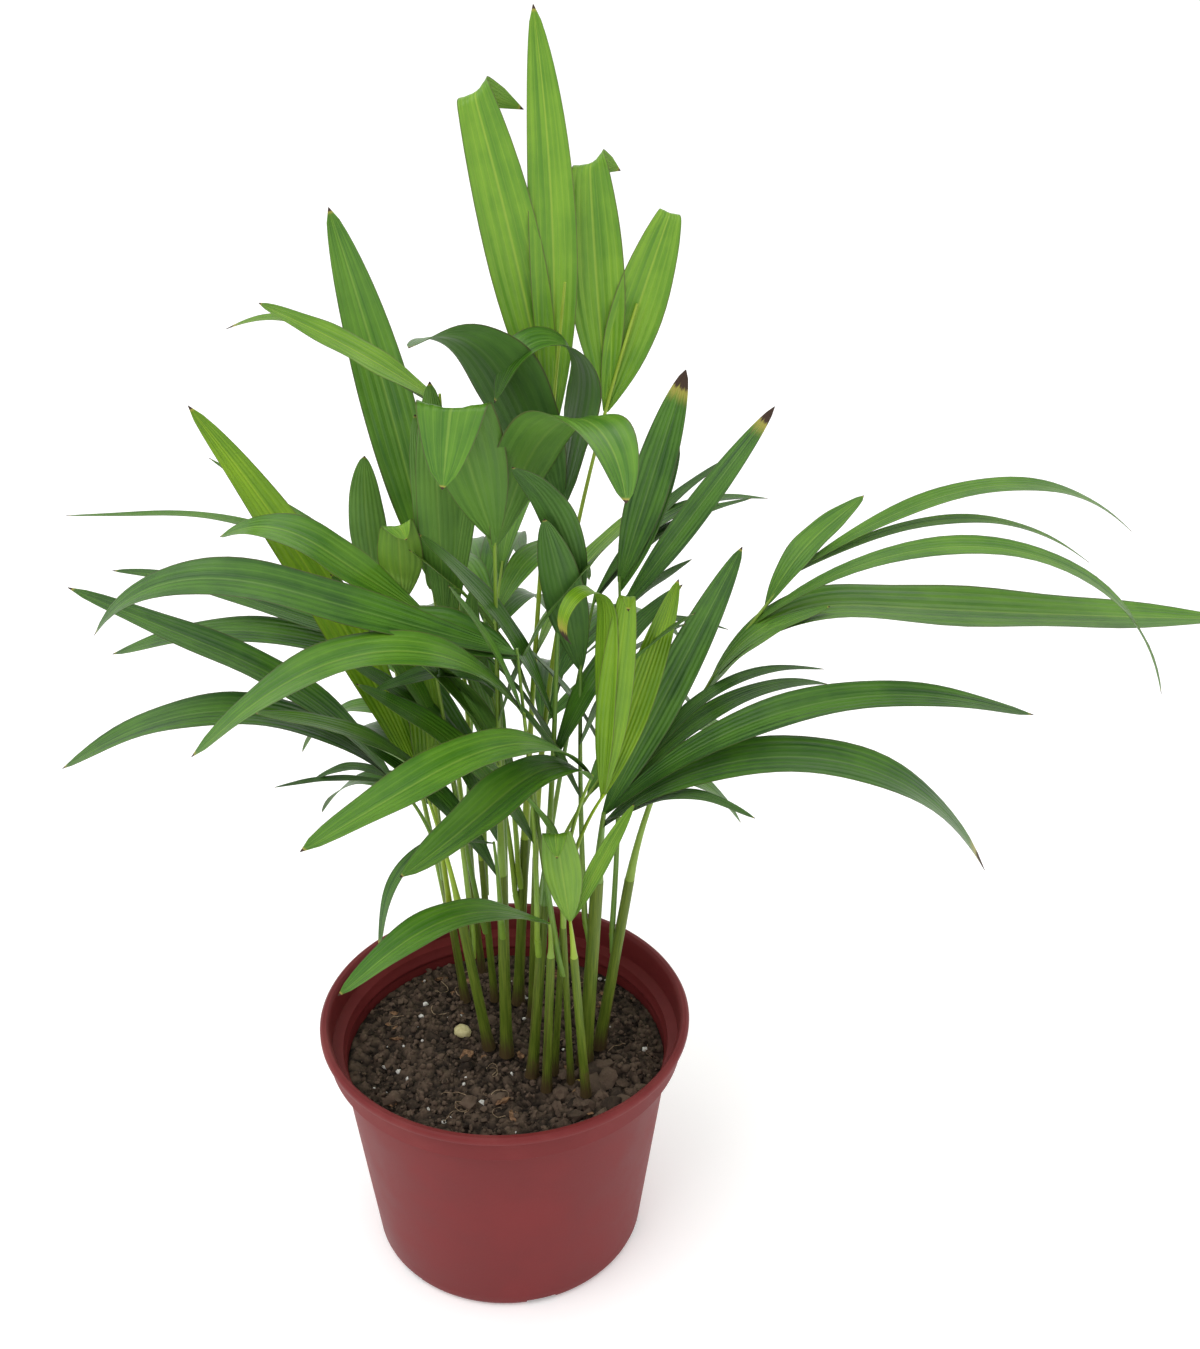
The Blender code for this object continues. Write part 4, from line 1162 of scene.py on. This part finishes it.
class PALM_OT_pot(bpy.types.Operator):
    """Nursery pot with its collar, rolled lip, inner rings and drain slots"""
    bl_idname = "palm.make_pot"
    bl_label = "Pot"

    def execute(self, context):
        settings = context.scene.palm_pot
        pot = drawn_shell("nursery_pot", pot_profile(), settings.sides)
        for i in range(SLOT_COUNT):
            turned = SLOT_TURN + 2 * math.pi * i / SLOT_COUNT
            reach = SLOT_OUTER_RADIUS - SLOT_INNER_RADIUS
            middle = SLOT_INNER_RADIUS + reach / 2
            clear_selection()
            bpy.ops.mesh.primitive_cube_add(size=1.0)
            cutter = bpy.context.active_object
            cutter.data.transform(Matrix.Diagonal((reach, SLOT_WIDTH, 2 * SLOT_HEIGHT, 1.0)))
            cutter.location = (middle * math.cos(turned), middle * math.sin(turned), 0.0)
            cutter.rotation_euler = (0.0, 0.0, turned)
            clear_selection()
            pot.select_set(True)
            context.view_layer.objects.active = pot
            cut = pot.modifiers.new("drain_slot", "BOOLEAN")
            cut.operation = "DIFFERENCE"
            cut.object = cutter
            cut.solver = "EXACT"
            bpy.ops.object.modifier_apply(modifier=cut.name)
            bpy.data.objects.remove(cutter)
        bpy.ops.object.shade_smooth_by_angle(angle=math.radians(32))
        pot.data.materials.clear()
        pot.data.materials.append(pot_material(tuple(settings.colour), settings.roughness))
        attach(pot, "root")
        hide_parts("pot")
        return {"FINISHED"}


class PALM_OT_soil(bpy.types.Operator):
    """Lumpy soil with crumbs, perlite, bark, root threads and two small stones"""
    bl_idname = "palm.make_soil"
    bl_label = "Soil"

    def execute(self, context):
        settings = context.scene.palm_soil
        rng = random.Random(SEED)
        deep, light = tuple(settings.deep), tuple(settings.light)
        peat = soil_material("damp_peat", deep, light)
        soil_piece(peat, settings.grid)
        strewn_piece("soil_lumps", peat, settings.lumps, 0.0012, 0.0040, 0.60, 2, 0.55, rng)
        strewn_piece("front_lumps", peat, FRONT_LUMP_COUNT, 0.0030, 0.0066, 0.62, 2, 0.55, rng, places=FRONT_LUMPS)
        strewn_piece("soil_crumbs", peat, settings.crumbs, 0.0004, 0.0017, 0.8, 1, 0.30, rng)
        perlite = speck_material("white_perlite", (0.52, 0.50, 0.46), (0.86, 0.85, 0.82), 0.8, 900.0)
        strewn_piece("perlite", perlite, 60, 0.0005, 0.0016, 0.8, 1, 0.35, rng)
        bark = speck_material("tan_bark", (0.10, 0.052, 0.026), (0.34, 0.20, 0.11), 0.75, 700.0)
        strewn_piece("bark_chips", bark, 30, 0.0013, 0.0042, 0.28, 2, 0.10, rng)
        thread = speck_material("pale_root", (0.20, 0.13, 0.075), (0.46, 0.35, 0.23), 0.7, 600.0)
        root_threads_piece(thread, 26, rng)
        stone = speck_material("pale_pebble", (0.50, 0.44, 0.22), (0.66, 0.60, 0.34), 0.45, 500.0)
        strewn_piece("pebble", stone, 1, 0.0040, 0.0041, 0.8, 3, 0.2, rng, 0.22, places=(PEBBLE_PLACE,))
        seed = speck_material("yellow_seed", (0.52, 0.38, 0.06), (0.68, 0.52, 0.12), 0.45, 500.0)
        strewn_piece("seed", seed, 1, 0.0018, 0.0019, 0.8, 3, 0.2, rng, 0.22, places=(SEED_PLACE,))
        return {"FINISHED"}


class PALM_OT_canes(bpy.types.Operator):
    """Canes wrapped in their split sheaths"""
    bl_idname = "palm.make_canes"
    bl_label = "Canes"

    def execute(self, context):
        settings = context.scene.palm_canes
        skin = cane_material(tuple(settings.green), tuple(settings.sheath), tuple(settings.brown))
        for stem in STEMS:
            cane_piece(stem, skin, settings.sides, CANE_RINGS)
        return {"FINISHED"}


class PALM_OT_fronds(bpy.types.Operator):
    """Every frond, with fine leaflets grown by the rule of the solids"""
    bl_idname = "palm.make_fronds"
    bl_label = "Fronds"

    def execute(self, context):
        settings = context.scene.palm_fronds
        stems = {stem.name: stem for stem in STEMS}
        greens = {name: leaflet_material(f"{name}_leaf", *colours) for name, colours in GREENS.items()}
        for frond in FRONDS:
            frond_piece(frond, stems[frond.stem], greens[frond.colour], settings.stations, settings.lanes)
        return {"FINISHED"}


class PALM_OT_stage(bpy.types.Operator):
    """Pale floor, soft lights and the camera at the photograph's angle"""
    bl_idname = "palm.make_stage"
    bl_label = "Stage"

    def execute(self, context):
        settings = context.scene.palm_stage
        clear_selection()
        bpy.ops.mesh.primitive_plane_add(size=FLOOR_SIZE, location=(0, 0, -FLOOR_DROP))
        floor = bpy.context.active_object
        floor.name = "studio_floor"
        made, tree, shader = new_material("pale_floor", specular=0.1)
        tint = noise_value(tree, object_place(tree), 3.0)
        low = tuple(settings.floor * part for part in (0.995, 0.99, 0.985))
        high = (settings.floor,) * 3
        tree.links.new(blend(tree, tint, low, high), shader.inputs["Base Color"])
        shader.inputs["Roughness"].default_value = 0.9
        shader.inputs["Emission Color"].default_value = (1.0, 1.0, 1.0, 1.0)
        shader.inputs["Emission Strength"].default_value = FLOOR_GLOW
        floor.data.materials.append(made)

        world = bpy.data.worlds.new("even_white")
        world.use_nodes = True
        context.scene.world = world
        sky = world.node_tree.nodes["Background"]
        sky.inputs["Color"].default_value = (1.0, 1.0, 1.0, 1.0)
        sky.inputs["Strength"].default_value = settings.sky

        for name, place, size, kind in LIGHTS:
            lamp = bpy.data.lights.new(name, "AREA")
            lamp.shape = "SQUARE"
            lamp.size = size
            lamp.energy = getattr(settings, kind)
            holder = bpy.data.objects.new(name, lamp)
            holder.location = place
            aim = Vector(LIGHT_AIM) - Vector(place)
            holder.rotation_euler = aim.to_track_quat("-Z", "Y").to_euler()
            context.scene.collection.objects.link(holder)

        lens = bpy.data.cameras.new("photo_camera")
        lens.sensor_fit = "HORIZONTAL"
        lens.sensor_width = SENSOR_WIDTH_MM
        lens.lens = CAMERA_LENS_MM
        lens.clip_start = 0.01
        camera = bpy.data.objects.new("photo_camera", lens)
        forward = Vector((
            math.sin(CAMERA_YAW) * math.cos(CAMERA_PITCH),
            math.cos(CAMERA_YAW) * math.cos(CAMERA_PITCH),
            -math.sin(CAMERA_PITCH)))
        right = Vector((math.cos(CAMERA_YAW), -math.sin(CAMERA_YAW), 0.0))
        up = right.cross(forward)
        right, up = turn(forward, -CAMERA_ROLL, right, up)
        axes = Matrix((right, up, -forward)).transposed()
        camera.matrix_world = Matrix.Translation(CAMERA_PLACE) @ axes.to_4x4()
        context.scene.collection.objects.link(camera)
        context.scene.camera = camera
        context.scene.view_settings.view_transform = "Standard"
        context.scene.view_settings.gamma = VIEW_GAMMA
        return {"FINISHED"}


class PALM_PT_panel(bpy.types.Panel):
    """Lists the settings and the pieces"""
    bl_label = "Potted palm"
    bl_idname = "PALM_PT_panel"
    bl_space_type = "VIEW_3D"
    bl_region_type = "UI"
    bl_category = "Palm"

    def draw(self, context):
        for label, settings in SETTINGS.items():
            box = self.layout.box()
            box.operator(f"palm.make_{label}")
            held = getattr(context.scene, f"palm_{label}")
            for name in settings.__annotations__:
                box.prop(held, name)


SETTINGS = {
    "stage": StageSettings,
    "pot": PotSettings,
    "soil": SoilSettings,
    "canes": CaneSettings,
    "fronds": FrondSettings,
}
OPERATORS = (PALM_OT_stage, PALM_OT_pot, PALM_OT_soil, PALM_OT_canes, PALM_OT_fronds)


def register():
    for label, settings in SETTINGS.items():
        bpy.utils.register_class(settings)
        setattr(bpy.types.Scene, f"palm_{label}", bpy.props.PointerProperty(type=settings))
    for operator in OPERATORS:
        bpy.utils.register_class(operator)
    bpy.utils.register_class(PALM_PT_panel)


def unregister():
    bpy.utils.unregister_class(PALM_PT_panel)
    for operator in reversed(OPERATORS):
        bpy.utils.unregister_class(operator)
    for label, settings in SETTINGS.items():
        delattr(bpy.types.Scene, f"palm_{label}")
        bpy.utils.unregister_class(settings)


def main():
    register()
    bpy.ops.palm.make_stage()
    bpy.ops.palm.make_pot()
    bpy.ops.palm.make_soil()
    bpy.ops.palm.make_canes()
    bpy.ops.palm.make_fronds()


if __name__ == "__main__":
    main()
